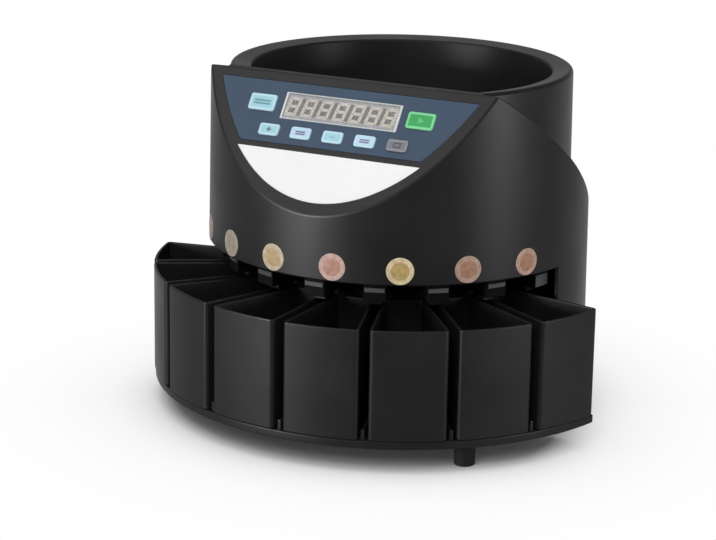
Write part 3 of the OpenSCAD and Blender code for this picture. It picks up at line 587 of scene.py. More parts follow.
def over_panel(inset):
    """What lies above the control panel's slope."""
    c, s = math.cos(PANEL_TILT), math.sin(PANEL_TILT)
    up, down, height = 60, -260, 200
    corners = (up, -inset), (down, -inset), (down, height), (up, height)
    outline = [(PANEL_Y + along * c - out * s, RIM_H + along * s + out * c) for along, out in corners]
    return prism("over_panel", outline, -FAR, FAR, ALONG_X)


def over_shoulder(inset, start, x0, x1):
    """What lies above the shoulder's slope and its level rear part, from a start in y."""
    back, top = 400, 500
    lift = RIM_H - inset / math.cos(SHOULDER_TILT)
    fall = math.tan(SHOULDER_TILT)
    low = SHOULDER_LOW - inset
    outline = [
        (start, top), (start, lift - (start - PANEL_Y) * fall),
        (PANEL_Y + (lift - low) / fall, low), (back, low), (back, top),
    ]
    return prism("over_shoulder", outline, x0, x1, ALONG_X)


def cup_window():
    """The sector under the cowl's front edge, where the cups pass."""
    outline = [(0, 0), polar(FAR, -WINDOW_HALF), (-FAR, -FAR), (FAR, -FAR), polar(FAR, WINDOW_HALF)]
    return prism("window", outline, BASE_TOP - 5, FRONT_EDGE)


def panel_holes(low, high):
    """The openings of the display and the keys."""
    holes = [(0, DISPLAY_V, DISPLAY_W, DISPLAY_H, 1.2, SET_CLEAR)]
    holes += [(s * BIG_KEY_U, DISPLAY_V, *BIG_KEY, 2.2, KEY_CLEAR) for s in (-1, 1)]
    holes += [(k * SMALL_KEY_PITCH, SMALL_KEY_V, *SMALL_KEY, 2.0, KEY_CLEAR) for k in range(-2, 3)]
    return joined("holes", [
        prism("hole", rounded(w + 2 * gap, h + 2 * gap, r + gap), low, high, ON_PANEL @ at(u, -v, 0))
        for u, v, w, h, r, gap in holes
    ])


def panel_sheet(name, r, v_top, v_end, low, high):
    """The part of a flat layer on the panel that lies inside an upright cylinder."""
    layer = block(name, (-PANEL_REACH, -v_end, low), (PANEL_REACH, -v_top, high), ON_PANEL)
    foot, top = 60, 320
    return common(layer, frustum("round", r, r, foot, top))


def make_cowl():
    ob = frustum("cowl_skin", COWL_R, cowl_r(RIM_H), BASE_TOP, RIM_H)
    cut(ob, over_panel(0))
    beside, middle = -150, 110
    cut(ob, over_shoulder(0, beside, RIDGE_HALF, FAR), over_shoulder(0, beside, -FAR, -RIDGE_HALF))
    cut(ob, over_shoulder(0, 0, -middle, middle))
    add(ob, block("rear_box", (-REAR_BOX_X, REAR_BOX_FRONT, BASE_TOP), (REAR_BOX_X, REAR_FACE, REAR_BOX_H)))
    drum_r = HOPPER_R + DRUM_CLEAR
    drum = frustum("drum", DRUM_FOOT_R + DRUM_CLEAR, drum_r, DECK_TOP, RIM_H + 0.001)
    add(drum, frustum("top", drum_r, drum_r, RIM_H - 1, RIM_H + 20))
    common(drum, block("half", (-FAR, RIDGE_BACK, 0), (FAR, FAR, HIGH)))
    cut(ob, drum, cup_window())

    def outside(m):
        if m.z < BASE_TOP + NEAR:
            return False
        rear = m.y > REAR_FACE - NEAR
        box_top = abs(m.z - REAR_BOX_H) < NEAR and abs(m.x) < REAR_BOX_X + NEAR and m.y > 100
        box_side = abs(abs(m.x) - REAR_BOX_X) < NEAR and m.z < REAR_BOX_H + NEAR and m.y > 125
        console = abs(m.y - PANEL_Y) < NEAR / 2 and m.z > RIM_H - NEAR
        return rear or box_top or box_side or console or math.hypot(m.x, m.y) > cowl_r(m.z) - 0.7

    def beside_hopper(m):
        r = math.hypot(m.x, m.y)
        if m.z <= SHOULDER_LOW - NEAR or r >= DRUM_FOOT_R + 1:
            return False
        ridge = abs(m.y - RIDGE_BACK) < NEAR / 2 and m.z > RIM_H - NEAR
        return ridge or r > HOPPER_R - 1 and m.y > RIDGE_BACK - NEAR

    soften(ob, 1.4, 22, 4, outside)
    soften(ob, 0.5, 40, 2, beside_hopper)
    hollow = frustum("hollow", COWL_R - COWL_WALL, cowl_r(RIM_H) - COWL_WALL, BASE_TOP - 1, RIM_H)
    cut(hollow, over_panel(PANEL_WALL), over_shoulder(PANEL_WALL, -200, -FAR, FAR))
    box_in = REAR_BOX_X - COWL_WALL
    add(hollow, block(
        "rear_hollow", (-box_in, REAR_BOX_FRONT, BASE_TOP - 1),
        (box_in, REAR_FACE - COWL_WALL, REAR_BOX_H - COWL_WALL),
    ))
    cut(ob, hollow)
    over = 10
    cut(ob, panel_sheet("film_recess", FILM_R, FILM_TOP, FILM_END, -FILM_DEPTH, over))
    cut(ob, panel_sheet("badge_recess", BADGE_R, BADGE_TOP, PANEL_REACH, -BADGE_DEPTH, over))
    soften(ob, 0.25, 50, 2, lambda m: (
        abs((OFF_PANEL @ m).z) < NEAR / 5 and math.hypot(m.x, m.y) < PANEL_MID_R - 3
    ))
    cut(ob, panel_holes(-6, 4))
    (low, high), deep = REAR_HOLE_Z, 10
    cut(ob, block("rear_hole", (-REAR_HOLE_X, REAR_FACE - deep, low), (REAR_HOLE_X, REAR_FACE + deep, high)))
    piece(ob, "machine", "black_plastic", BLACK, "cowl")


make_cowl()


# Hopper: a drum, a rim band and a bowl with a flat front wall
def make_hopper():
    rim_in, rim_fall, rim_deep = HOPPER_R - RIM_W, 2.75, 5.0
    ob = revolve("hopper_skin", curve([
        (FENCE_R, DECK_TOP), (FLANGE_R, DECK_TOP), (FLANGE_R, TRACK_TOP, 0.5), (DRUM_FOOT_R, TRACK_TOP),
        (HOPPER_R, RIM_H, 3.2), (rim_in - 0.1, RIM_H - rim_fall, 2.2),
        (THROAT_R, THROAT_Z), (THROAT_R + HOPPER_WALL, THROAT_Z),
        (rim_in + HOPPER_WALL, RIM_H - rim_deep - 2.5), (HOPPER_R - HOPPER_WALL, RIM_H - rim_deep),
    ], 7))
    common(ob, block("half", (-FAR, WALL_OUT, 0), (FAR, FAR, HIGH)))
    # the wall's round end follows the rim band, given as distances inside and below the rim
    edge = (1, 6), (0.1, 3.1), (0.5, 1.6), (1.4, 0.5), (3.0, 0)
    wall = revolve("wall", [
        (0, THROAT_Z), (THROAT_R + HOPPER_WALL, THROAT_Z),
        *((HOPPER_R - inside, RIM_H - below) for inside, below in edge), (0, RIM_H),
    ])
    wall_top = RIM_H - 0.6
    common(wall, block("slab", (-FAR, WALL_OUT, 0), (FAR, WALL_IN, wall_top)))
    soften(wall, 0.8, 40, 3, lambda m: m.z > wall_top - NEAR and abs(m.x) < RIDGE_HALF - 1)
    add(ob, wall)
    fence_out, fence_top = DRUM_FOOT_R - 0.2, DECK_TOP + FENCE_H
    fence = revolve("fence", [
        (FENCE_R, DECK_TOP), (FLANGE_R, DECK_TOP), (FLANGE_R, TRACK_TOP),
        (fence_out, TRACK_TOP), (fence_out, fence_top), (FENCE_R, fence_top),
    ])
    common(fence, block("front", (-FAR, -FAR, 0), (FAR, WALL_OUT + 0.2, HIGH)))
    add(ob, fence)
    piece(ob, "machine", "black_plastic", BLACK, "hopper_bowl")


make_hopper()


# Coin cups with round corners and a soft lip
CUP_CORNER, CUP_ARC_STEPS = 3.0, 18


def cup_ring(inset, z):
    """One level of a cup: outline of the sector, moved inwards by inset."""
    half, offset, radius = CUP_PITCH / 2, CUP_GAP / 2 + CUP_CORNER, CUP_CORNER - inset

    def centre(r):
        # where a side line that is moved in by the corner radius meets a circle
        along = math.sqrt(r * r - offset * offset)
        side = Vector((math.sin(half), -math.cos(half)))
        inward = Vector((-math.cos(half), -math.sin(half)))
        return side * along + inward * offset

    def corner(c, a0, a1):
        angles = (a0 + (a1 - a0) * i / CORNER_STEPS for i in range(CORNER_STEPS + 1))
        return [(c.x + radius * math.sin(a), c.y - radius * math.cos(a)) for a in angles]

    def arc(r, end):
        return [polar(r, end * i / CUP_ARC_STEPS) for i in range(CUP_ARC_STEPS)]

    far, near = centre(RING_R - CUP_CORNER), centre(CUP_IN_R + CUP_CORNER)
    far_a, near_a = math.atan2(far.x, -far.y), math.atan2(near.x, -near.y)
    side_a = half + math.pi / 2
    right = arc(RING_R - inset, far_a)
    right += corner(far, far_a, side_a)
    right += corner(near, side_a, near_a + math.pi)
    right += reversed(arc(CUP_IN_R + inset, near_a))
    left = [(-x, y) for x, y in right[-2:0:-1]]
    return [(x, y, z) for x, y in right + left]


def make_cups():
    # insets, with heights above the foot, depths below the lip, and heights above the foot again
    outer_foot = (1.0, 0), (0.4, 0.15), (0.1, 0.5), (0.0, 1.1)
    lip = (0.0, 0.9), (0.12, 0.4), (0.42, 0.1), (0.8, 0), (1.2, 0), (1.58, 0.1), (1.88, 0.4), (2.0, 0.9)
    inner_foot = (2.0, 2.95), (2.1, 2.55), (2.35, 2.2), (2.85, 2.0)
    rings = [cup_ring(inset, CUP_Z + above) for inset, above in outer_foot]
    rings += [cup_ring(inset, CUP_TOP - below) for inset, below in lip]
    rings += [cup_ring(inset, CUP_Z + above) for inset, above in inner_foot]
    n, last = len(rings[0]), len(rings) - 1
    verts = [p for ring in rings for p in ring]
    faces = [face for k in range(last) for face in band(n, k, k + 1)]
    for k in (0, last):
        # strips from side to side keep the sector's flat ends free of long thin fans
        for i in range(n // 2):
            strip = i, i + 1, (n - i - 1) % n, (n - i) % n
            faces.append(tuple(dict.fromkeys(k * n + j for j in strip)))
    for i in range(CUPS):
        ob = mesh_object(f"cup_skin_{i + 1}", verts, faces)
        moved(ob, spin((i - (CUPS - 1) / 2) * CUP_PITCH))
        piece(ob, f"cup_{i + 1}", "cup_plastic", CUP, f"coin_cup_{i + 1}")


make_cups()


# Base pan: a round pan with a cup sector, a rear tongue and guide ribs
def make_base():
    rim_r, rim_steps, side_steps = RING_R - 0.8, 80, 60
    outline = [polar(rim_r, BASE_HALF * (i / rim_steps - 1)) for i in range(2 * rim_steps + 1)]
    tongue = math.atan2(REAR_BOX_X, -math.sqrt(COWL_R ** 2 - REAR_BOX_X ** 2))
    side = [polar(COWL_R, BASE_HALF + (tongue - BASE_HALF) * i / side_steps) for i in range(side_steps + 1)]
    outline += side + [(REAR_BOX_X, REAR_FACE), (-REAR_BOX_X, REAR_FACE)]
    outline += [(-x, y) for x, y in reversed(side)]
    ob = prism("base_skin", outline, BASE_LOW, BASE_TOP)
    soften(ob, 0.9, 40, 3)
    sunk = BASE_TOP - 0.5
    raised = []
    for i in range(1, CUPS):
        low, high = (-RIB_W / 2, 3 - RING_R, sunk), (RIB_W / 2, -CUP_IN_R, BASE_TOP + RIB_H)
        rib = soften(block("rib", low, high), 0.7, 40, 3, lambda m: m.z > BASE_TOP)
        raised.append(moved(rib, spin((i - CUPS / 2) * CUP_PITCH)))
    for x, y in BOARD_LEGS:
        leg = frustum("leg", LEG_R, LEG_R, sunk, BASE_TOP + LEG_H, SMALL_ROUND)
        raised.append(moved(leg, at(x, y, 0)))
    add(ob, joined("raised", raised))
    hole_r, sink_r, sink_top, bore_r, bore_top = 1.6, 3.15, BASE_LOW + 2.25, 3.4, BASE_LOW + 2.4
    posts = [round_at(POST_RING, a, 0) for a in POST_ANGLES]
    bosses = [round_at(BOSS_RING, a, 0) for a in BOSS_ANGLES]

    def holes(name, r1, r2, low, high, places):
        return [moved(frustum(name, r1, r2, low, high, SMALL_ROUND), place) for place in places]

    cut(ob, *holes("through", hole_r, hole_r, BASE_LOW + 2, BASE_TOP + 1, posts))
    cut(ob, joined("sinks", holes("sink", sink_r, hole_r, BASE_LOW - 0.05, sink_top, posts)))
    cut(ob, joined("bores", holes("bore", bore_r, bore_r, BASE_LOW - 1, bore_top, bosses)))
    piece(ob, "machine", "black_plastic", BLACK, "base_pan")


make_base()


# Feet and raised screws
FOOT_SEAT = 6.0


def make_feet():
    bore, head_bore = 1.6, 3.6
    # radius, height and rounding, with a groove above the foot's sole
    profile = curve([
        (head_bore, 0, 0.5), (7.25, 0, 0.9), (7.42, 6.0), (7.1, 6.4, 0.2), (7.12, 7.2, 0.2), (7.46, 7.6),
        (7.75, BASE_LOW), (bore, BASE_LOW), (bore, FOOT_SEAT), (head_bore, FOOT_SEAT),
    ], 5)
    feet = [moved(revolve("foot", profile, MIDDLE_ROUND), at(x, y, 0)) for x, y in FOOT_PLACES]
    piece(joined("foot_skins", feet), "machine", "rubber", RUBBER, "rubber_feet")


def screw(length):
    """A pan-head screw with a cross recess; the underside of the head is at zero."""
    steps, dome_h = 8, 0.95
    profile = [(0, -length), (1.2, -length), (SCREW_R, 0.4 - length), (SCREW_R, 0)]
    profile += [(2.75, 0), (HEAD_R, 0.25)]
    for i in range(steps):
        a = math.pi / 2 * i / steps
        profile.append((HEAD_R * math.cos(a), HEAD_H - dome_h + dome_h * math.sin(a)))
    ob = revolve("screw", profile + [(0, HEAD_H)], 40)
    x, y = 1.7, 0.38
    for turn in (0, math.pi / 2):
        slot = loft("slot", [
            [(-x * k, -y * k, z), (x * k, -y * k, z), (x * k, y * k, z), (-x * k, y * k, z)]
            for k, z in ((0.55, 0.95), (1.0, 2.4))
        ])
        cut(ob, moved(slot, spin(turn)))
    return ob


def make_screws(node, length, places):
    pattern = screw(length)
    first_turn, next_turn = 0.6, 1.1
    made = []
    for k, place in enumerate(places):
        ob = bpy.data.objects.new("screw", pattern.data.copy())
        made.append(moved(ob, place @ spin(first_turn + next_turn * k)))
    bpy.data.objects.remove(pattern)
    piece(joined(node.replace("screws", "screw") + "_set", made), BODY[node], "steel", STEEL, node)


make_feet()
make_screws("foot_screws", 15.6, [at(x, y, FOOT_SEAT) @ DOWN for x, y in FOOT_PLACES])
make_screws("cowl_screws", 17, [round_at(BOSS_RING, a, BASE_LOW + 2.4) @ DOWN for a in BOSS_ANGLES])
make_screws("rear_cover_screws", 8, [
    at(x, COVER_Y, z) @ BACKWARD for x in (-COVER_SCREW_X, COVER_SCREW_X) for z in COVER_SCREW_Z
])
make_screws("cone_screw", 14, [at(0, 0, TRACK_TOP + CONE_H)])
make_screws("motor_screws", 9, [
    at(0, MOTOR_Y, PLATE_TOP) @ spin(math.radians(a)) @ at(MOTOR_SCREW_R, 0, 0) for a in (45, 135, 225, 315)
])
make_screws("board_screws", 7.6, [ON_PANEL @ at(u, -v, BOARD_BACK) @ DOWN for u, v in BOARD_SCREWS])


# Panel: film, badge, display and keys
def make_panel():
    top = -0.1

    def inlaid(name, r, v_top, v_end, depth, width, segments):
        ob = panel_sheet(name, r - SET_CLEAR, v_top + SET_CLEAR, v_end, -depth, top)
        return soften(ob, width, 40, segments, lambda m: (OFF_PANEL @ m).z > top - NEAR / 5)

    film = inlaid("film_skin", FILM_R, FILM_TOP, FILM_END - SET_CLEAR, FILM_DEPTH, 0.18, 2)
    cut(film, panel_holes(-3, 3))
    piece(film, "machine", "film_blue", FILM, "keypad_film")
    badge = inlaid("badge_skin", BADGE_R, BADGE_TOP, PANEL_REACH, BADGE_DEPTH, 0.25, 3)
    piece(badge, "machine", "badge_white", BADGE, "badge_plate")


def make_display():
    here = ON_PANEL @ at(0, -DISPLAY_V, 0)
    inner_w, inner_h = DISPLAY_W - 3.6, DISPLAY_H - 1.6
    flange = 1.2
    edge = loft("lens_frame", stack(DISPLAY_W + 2 * flange, DISPLAY_H + 2 * flange, 1.6, [
        (-4.5, 0), (-3.0, 0), (-3.0, flange), (-0.35, flange), (-0.17, flange + 0.07), (-0.1, flange + 0.25),
    ], here))
    cut(edge, prism("inside", rounded(inner_w, inner_h, 0.8), -6, 1, here))
    piece(edge, "machine", "lens", FRAME, "display_window", smooth=40)
    sheet = loft("lens_skin", stack(inner_w - 0.1, inner_h - 0.1, 0.75, [
        (-0.62, 0), (-0.34, 0), (-0.24, 0.04), (-0.2, 0.14),
    ], here))
    piece(sheet, "machine", "lens", LENS, smooth=40)
    module = loft("display_skin", stack(DISPLAY_W - 4, DISPLAY_H - 2, 0.7, [
        (-12, 0), (-1.12, 0), (-1.03, 0.04), (-1.0, 0.14),
    ], here))
    piece(module, "machine", "display", FIELD, "display_module", smooth=40)

    # seven segments of a digit, by half width and half height outside (2) and inside (1) its bars
    digits, pitch, shift, lean = 7, 12.72, -0.1, math.tan(math.radians(9))
    bar, gap, x2, y2 = 2.3, 0.22, 4.8, 7.1
    x1, y1, t = x2 - bar, y2 - bar, bar / 2
    across = [(gap - x2, y2), (x2 - gap, y2), (x1 - gap, y1), (gap - x1, y1)]
    middle = [(t + gap - x2, 0), (gap - x1, t), (x1 - gap, t)]
    middle += [(-x, -y) for x, y in middle]
    upright = [(x2, y2 - gap), (x2, gap / 2), (x2 - t, gap / 2), (x1, t + gap / 2), (x1, y1 - gap)]
    segments = [across, [(x, -y) for x, y in across], middle]
    segments += [[(sx * x, sy * y) for x, y in upright] for sx in (-1, 1) for sy in (-1, 1)]
    point = [(x, y + 1.6 - y2) for x, y in rounded(1.3, 1.3, 0.6, 4)]
    places = [(k - (digits - 1) / 2) * pitch + shift for k in range(digits)]

    def flat(name, outline, u, low, high):
        return prism(name, [(x + u + lean * y, y) for x, y in outline], low, high, here)

    counter = rounded((digits - 1) * pitch + 2 * x2 - 1.2, 2 * y2 - 1.2, 0.6, 3)
    bars = [flat("bar", outline, u, -0.95, -0.84) for u in places for outline in segments]
    points = [flat("point", point, u + pitch / 2, -0.95, -0.86) for u in places[:-1]]
    piece(flat("digit_row", counter, shift, -1.02, -0.93), "machine", "display", COUNTER)
    piece(joined("digit_bars", bars), "machine", "display", SEGMENT)
    piece(joined("digit_points", points), "machine", "display", POINT)


KEY_CORNER, KEY_FIELD = 1.8, 0.9
STEM_R, STEM_LOW, STEM_TOP = 2.0, -6.4, -4.1
# heights above the panel and insets, from the flange under the film over the rim to the sunk field
KEY_LEVELS = (
    (STEM_TOP, -2.0), (-3.1, -2.0), (-3.1, 0.0), (0.35, 0.0), (0.66, 0.06), (0.9, 0.22), (1.04, 0.45),
    (1.1, 0.75), (1.1, 1.7), (1.02, 1.84), (KEY_FIELD, 1.94),
)
KEY_SLOTS = {
    "start_key": "key_green", "small_key_2": "key_pale", "small_key_4": "key_pale", "small_key_5": "key_grey",
}


def make_key(node, u, v, size, rim, field, ink, mark):
    """A cap with a soft edge, a rim in one colour, a sunk field in another, and a small mark."""
    here = ON_PANEL @ at(u, -v, 0)
    stem = [(STEM_R * math.cos(a), STEM_R * math.sin(a)) for a in turns(4 * (CORNER_STEPS + 1))]
    rings = [[here @ Vector((x, y, z)) for x, y in stem] for z in (STEM_LOW, STEM_TOP)]
    rings += stack(*size, KEY_CORNER, KEY_LEVELS, here, least=0.4)
    ob = loft(node + "_skin", rings)
    centre = here @ Vector((0, 0, KEY_FIELD))
    for face in ob.data.polygons:
        if len(face.vertices) > 4 and (face.center - centre).length < 0.3:
            face.material_index = 1
    body, slot = BODY[node], KEY_SLOTS.get(node, "key_blue")
    piece(ob, body, slot, [rim, field], node, smooth=40)
    shapes = [
        prism("mark", [(x + dx, y + dy) for x, y in outline], KEY_FIELD - 0.02, KEY_FIELD + 0.07, here)
        for outline, dx, dy in mark
    ]
    piece(joined(node + "_mark", shapes), body, slot, ink)


def bar_mark(w, h, r, dx=0, dy=0, n=3):
    return rounded(w, h, r, n), dx, dy


def ring_mark(w, h, t):
    """Four bars of a square ring."""
    side, end = h / 2 - t / 2, w / 2 - t / 2
    return [bar_mark(w, t, t / 3, 0, s * side, 2) for s in (1, -1)] + [
        bar_mark(t, h - 2 * t, t / 6, s * end, 0, 2) for s in (1, -1)
    ]


def make_keys():
    wide = [bar_mark(13.5, 1.5, 0.5, 0, d) for d in (-1.15, 1.15)]
    arrow = [([(-1.8, -2.4), (2.6, 0), (-1.8, 2.4)], 0, 0)]
    plus = [bar_mark(3.6, 1.1, 0.3)] + [bar_mark(1.1, 1.2, 0.2, 0, d) for d in (1.2, -1.2)]
    bars = [bar_mark(7.6, 1.0, 0.4, 0, d) for d in (0.85, -0.85)]
    dash = [bar_mark(4.2, 1.1, 0.4)]
    make_key("mode_key", -BIG_KEY_U, DISPLAY_V, BIG_KEY, KEY_PALE, KEY_CYAN, INK_TEAL, wide)
    make_key("start_key", BIG_KEY_U, DISPLAY_V, BIG_KEY, KEY_MINT, KEY_GREEN, INK_GREEN, arrow)
    for k, looks in enumerate((
        (KEY_PALE, KEY_CYAN, INK, plus),
        (KEY_PALE, KEY_WHITE, INK, bars),
        (KEY_PALE, KEY_CYAN, INK_SOFT, dash),
        (KEY_PALE, KEY_WHITE, INK, bars),
        (KEY_GREY, KEY_DARK, INK_DARK, ring_mark(5.6, 4.2, 0.9)),
    )):
        make_key(f"small_key_{k + 1}", (k - 2) * SMALL_KEY_PITCH, SMALL_KEY_V, SMALL_KEY, *looks)


make_panel()
make_display()
make_keys()


# Coin markers: discs with a raised rim that follow the round cowl
COIN_POINTS, COIN_FACE, COIN_MIDDLE = 96, 0.32, 0.65
COIN_STEPS = (
    0.12, 0.24, 0.36, 0.48, 0.58, 0.64, 0.66, 0.68, 0.74, 0.8, 0.86, 0.885, 0.9, 0.95, 0.975, 0.99, 1.0,
)
COIN_EDGE = {0.99: 0.42, 1.0: 0.25}


def coin_height(s, a):
    """Height of a coin marker above the cowl, at a share of its radius and an angle."""
    if s in COIN_EDGE:
        return COIN_EDGE[s]
    rim = 0.5 if 0.9 <= s <= 0.975 else COIN_FACE
    groove = -0.08 if 0.64 < s < 0.68 else 0.0
    beads = 0.05 if 0.72 < s < 0.88 and math.cos(24 * a) > 0.2 else 0.0
    spokes = 0.06 if 0.1 < s < 0.6 and math.cos(6 * a) > 0.35 else 0.0
    return rim + groove + beads + spokes


def make_marker(i):
    turn = (i - (CUPS - 1) / 2) * CUP_PITCH + COIN_TURN
    angles = turns(COIN_POINTS)

    def bent(r, a, height):
        z = FRONT_EDGE + COIN_RISE + r * math.sin(a)
        radius = cowl_r(z) + height
        return (*polar(radius, turn + math.asin(r * math.cos(a) / radius)), z)

    rings = [[bent(COIN_R * s, a, coin_height(s, a)) for a in angles] for s in COIN_STEPS]
    rings.append([bent(COIN_R, a, -0.02) for a in angles])
    ob = loft(f"marker_{i + 1}", rings)
    middle = Vector(bent(0, 0, COIN_FACE))
    for face in ob.data.polygons:
        face.material_index = 0 if (face.center - middle).length / COIN_R < COIN_MIDDLE else 1
    piece(ob, "machine", "marker_print", COINS[i], *(["coin_markers"] if i == 0 else []))


for i in range(CUPS):
    make_marker(i)


# CAD shapes that are right as they are: copied, welded and given soft edges
def refined(node, width, material, slot, weld=0.002):
    mesh = frame["nodes"][node].data.copy()
    ob = linked(node + "_skin", mesh)
    with editing(mesh) as bm:
        bmesh.ops.remove_doubles(bm, verts=bm.verts, dist=weld / 1000)
        bmesh.ops.dissolve_limit(
            bm, angle_limit=math.radians(0.2), use_dissolve_boundaries=False,
            verts=bm.verts, edges=bm.edges, delimit=set(),
        )
    if "custom_normal" in mesh.attributes:
        mesh.attributes.remove(mesh.attributes["custom_normal"])
    mesh.materials.clear()
    bevel = ob.modifiers.new("edges", "BEVEL")
    bevel.width, bevel.segments = width / 1000, 2
    bevel.limit_method, bevel.angle_limit = "ANGLE", math.radians(30)
    bevel.use_clamp_overlap = True
    dress(ob, BODY[node], slot, material, node)


for node, width, material, slot in (
    ("rear_cover", 0.5, BLACK, "black_plastic"), ("power_inlet", 0.6, SATIN, "black_plastic"),
    ("inlet_pins", 0.35, BRASS, "brass"), ("switch_frame", 0.5, SATIN, "black_plastic"),
    ("switch_rocker", 0.5, ROCKER, "rocker_red"), ("chute_ring", 0.5, CHUTE_SHADE_BLACK, "chute_grey"),
    ("coin_sensors", 0.4, BLACK, "black_plastic"),
    ("deck_posts", 0.3, OXIDE_AND_SHADE, "steel"), ("frame_screws", 0.12, STEEL, "steel"),
    ("sorting_track", 0.3, TRACK, "plate_metal"), ("upper_bush", 0.3, BRASS, "brass"),
    ("lower_bush", 0.3, BRASS, "brass"), ("motor_plate", 0.4, ZINC, "plate_metal"),
    ("plate_standoffs", 0.3, STEEL, "steel"), ("gearhead", 0.6, MOTOR, "motor_metal"),
    ("drive_motor", 0.3, MOTOR, "motor_metal"), ("power_board", 0.2, BOARD, "board_green"),
    ("transformer_core", 0.3, CORE, "motor_metal"), ("transformer_coil", 1.2, COIL, "coil"),
    ("turntable_disc", 0.35, DISC, "plate_metal"), ("disc_hub", 0.4, STEEL, "steel"),
    ("disc_cone", 0.9, BLACK, "black_plastic"), ("drive_shaft", 0.4, STEEL, "steel"),
    ("turntable_gear", 0.15, NYLON, "gear_nylon"), ("thrust_collar", 0.4, STEEL, "steel"),
    ("drive_pinion", 0.15, NYLON, "gear_nylon"), ("motor_shaft", 0.4, STEEL, "steel"),
    ("control_board", 0.15, BOARD, "board_green"), ("key_switches", 0.2, BLACK, "black_plastic"),
):
    refined(node, width, material, slot)
# the wider weld closes the hundredth of a millimetre above each countersink
refined("deck_plate", 0.3, OXIDE_AND_SHADE, "plate_metal", weld=0.02)


# Lips on the front of the chute's blocks
def make_lips():
    lip_in, lip_out, half, steps = 130.6, 131.5, math.radians(3.1), 12
    end_heights, heights = (109.0, 117.5), (115.2, 118.4)
    made = []
    for i in range(CUPS + 1):
        low, high = end_heights if i in (0, CUPS) else heights
        middle = (i - CUPS / 2) * CUP_PITCH
        arc = [middle + half * (2 * k / steps - 1) for k in range(steps + 1)]
        outline = [polar(lip_out, a) for a in arc] + [polar(lip_in, a) for a in reversed(arc)]
        lip = prism("lip", outline, low, high)
        made.append(soften(lip, 0.25, 40, 2, lambda m: math.hypot(m.x, m.y) > lip_out - 0.3))
    piece(joined("chute_lips", made), "machine", "chute_grey", LIP)


make_lips()


# Generic marks of the power switch, a bar and a ring
def make_switch_marks():
    rocker = at(SWITCH_X, ROCKER_Y, REAR_MID) @ Matrix.Rotation(-ROCKER_TILT, 4, "X")
    low, high = -0.05, 0.12

    def on_face(start, end):
        """Place on one of the rocker's two faces, given by its ends in y and z."""
        a, b = Vector((0, *start)), Vector((0, *end))
        up = (b - a).normalized()
        out = up.cross(Vector((1, 0, 0)))
        face = Matrix((up.cross(out), up, out)).transposed().to_4x4()
        face.translation = (a + b) / 2
        return rocker @ face

    bar = prism("mark", rounded(0.9, 4.6, 0.2, 3), low, high, on_face((5, 0), (7, 10)))
    place, outer, inner = on_face((7, -10), (5, 0)), 2.2, 1.5
    section = (outer, low), (outer, high), (inner, high), (inner, low), (outer, low)
    ring = loft("mark", [
        [place @ Vector((r * math.cos(a), r * math.sin(a), z)) for a in turns(SMALL_ROUND)]
        for r, z in section
    ], cap=False)
    piece(joined("switch_marks", [bar, cleaned(ring)]), "rocker", "rocker_red", INK_WHITE)


make_switch_marks()


# Floor, backdrop, world and lamps, in metres
FLOOR_HALF, BACKDROP_R, BACKDROP_H, WORLD_LIGHT = 9, 8.5, 1.6, 0.3
SHADOW_FROM, SHADOW_TO = -0.015, 0.150
SHADOW_FADE = (
    (0.0, 0.026), (0.042, 0.15), (0.091, 0.32), (0.139, 0.45), (0.188, 0.55), (0.248, 0.65), (0.333, 0.735),
    (0.455, 0.81), (0.636, 0.89), (1.0, 1.0),
)


def seen_white(name, where=None):
    """A pale surface that is plain white where a camera, glossy or transmission ray meets it."""
    p = Paint(name)
    path = p.node("ShaderNodeLightPath").outputs
    seen = path["Is Camera Ray"]
    for ray in ("Is Glossy Ray", "Is Transmission Ray"):
        seen = p.math("MAXIMUM", seen, path[ray])
    diffuse, glow = p.node("ShaderNodeBsdfDiffuse"), p.node("ShaderNodeEmission")
    diffuse.inputs["Color"].default_value = (0.92, 0.92, 0.92, 1)
    glow.inputs["Strength"].default_value = 1.0
    mix = p.node("ShaderNodeMixShader")
    p.link(p.math("MULTIPLY", seen, where(p)) if where else seen, mix.inputs[0])
    p.link(diffuse.outputs[0], mix.inputs[1])
    p.link(glow.outputs[0], mix.inputs[2])
    p.link(mix.outputs[0], p.tree.nodes["Material Output"].inputs[0])
    p.tree.nodes.remove(p.shader)
    return p.material


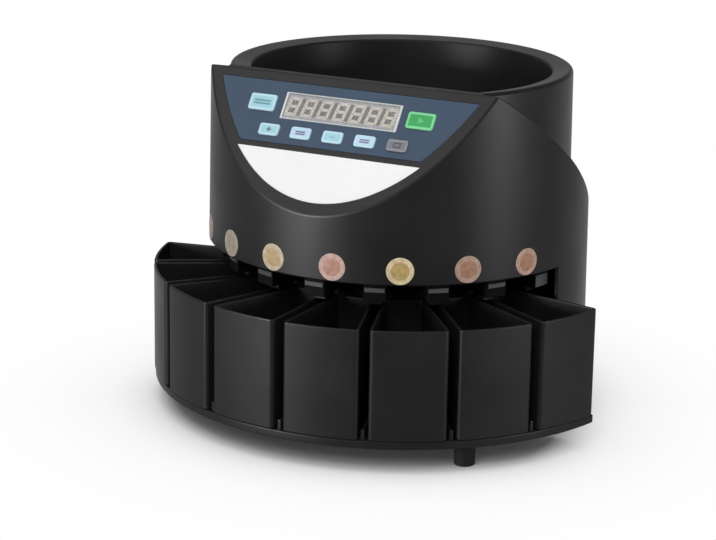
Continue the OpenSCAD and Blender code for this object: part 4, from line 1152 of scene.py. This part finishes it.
def away_from_machine(p):
    """0 at the machine's outline, where the floor shows its shadow, and 1 further out."""
    x, y, _, radius = p.from_axis()
    turn = p.math("ABSOLUTE", p.math("ARCTAN2", x, p.math("MULTIPLY", y, -1)))
    outline = p.remap(turn, (RING_R - 1) / 1000, COWL_R / 1000, math.radians(60), math.radians(100))
    away = p.remap(p.math("SUBTRACT", radius, outline), 0, 1, SHADOW_FROM, SHADOW_TO)
    return p.ramp(away, [(stop, (level, level, level, 1)) for stop, level in SHADOW_FADE])


def make_stage():
    corners = [(x * FLOOR_HALF, y * FLOOR_HALF, 0) for x, y in ((-1, -1), (1, -1), (1, 1), (-1, 1))]
    floor = mesh_object("floor", corners, [(0, 1, 2, 3)])
    floor.data.materials.append(seen_white("floor", away_from_machine))
    rings = [circle(BACKDROP_R, z, MIDDLE_ROUND) for z in (0, BACKDROP_H)]
    backdrop = loft("backdrop", rings, cap=False)
    backdrop.data.materials.append(seen_white("backdrop"))

    world = bpy.data.worlds.new("world")
    world.use_nodes = True
    light = world.node_tree.nodes["Background"]
    light.inputs["Color"].default_value = (1, 1, 1, 1)
    light.inputs["Strength"].default_value = WORLD_LIGHT
    scene.world = world


def lamp(name, azimuth, elevation, width, height, watts, distance=2.2, sheen_only=False):
    data = bpy.data.lights.new(name, "AREA")
    data.shape = "RECTANGLE"
    data.size, data.size_y, data.energy = width, height, watts
    ob = linked(name, data)
    e = math.radians(elevation)
    away = Vector((*polar(math.cos(e), math.radians(azimuth)), math.sin(e)))
    ob.location = Vector((0, AXIS_Y / 1000, 0.12)) + away * distance
    ob.rotation_euler = away.to_track_quat("Z", "Y").to_euler()
    ob.visible_camera = False
    ob.visible_diffuse = not sheen_only


make_stage()
lamp("front", 20, 35, 1.0, 1.0, 14)
lamp("top", 0, 88, 2.0, 2.0, 29)
# softboxes and two low strips that only draw the soft sheen on the panel, the black plastic and the rim
lamp("panel_sheen", -40, 46, 1.0, 1.0, 34, sheen_only=True)
lamp("left_strip", -28, 4, 0.45, 0.4, 115, 1.7, True)
lamp("right_strip", 85, 4, 0.45, 0.4, 46, 1.7, True)
lamp("rim_sheen", 207, 36, 0.8, 0.5, 3.2, sheen_only=True)
scene.view_settings.view_transform = "Standard"
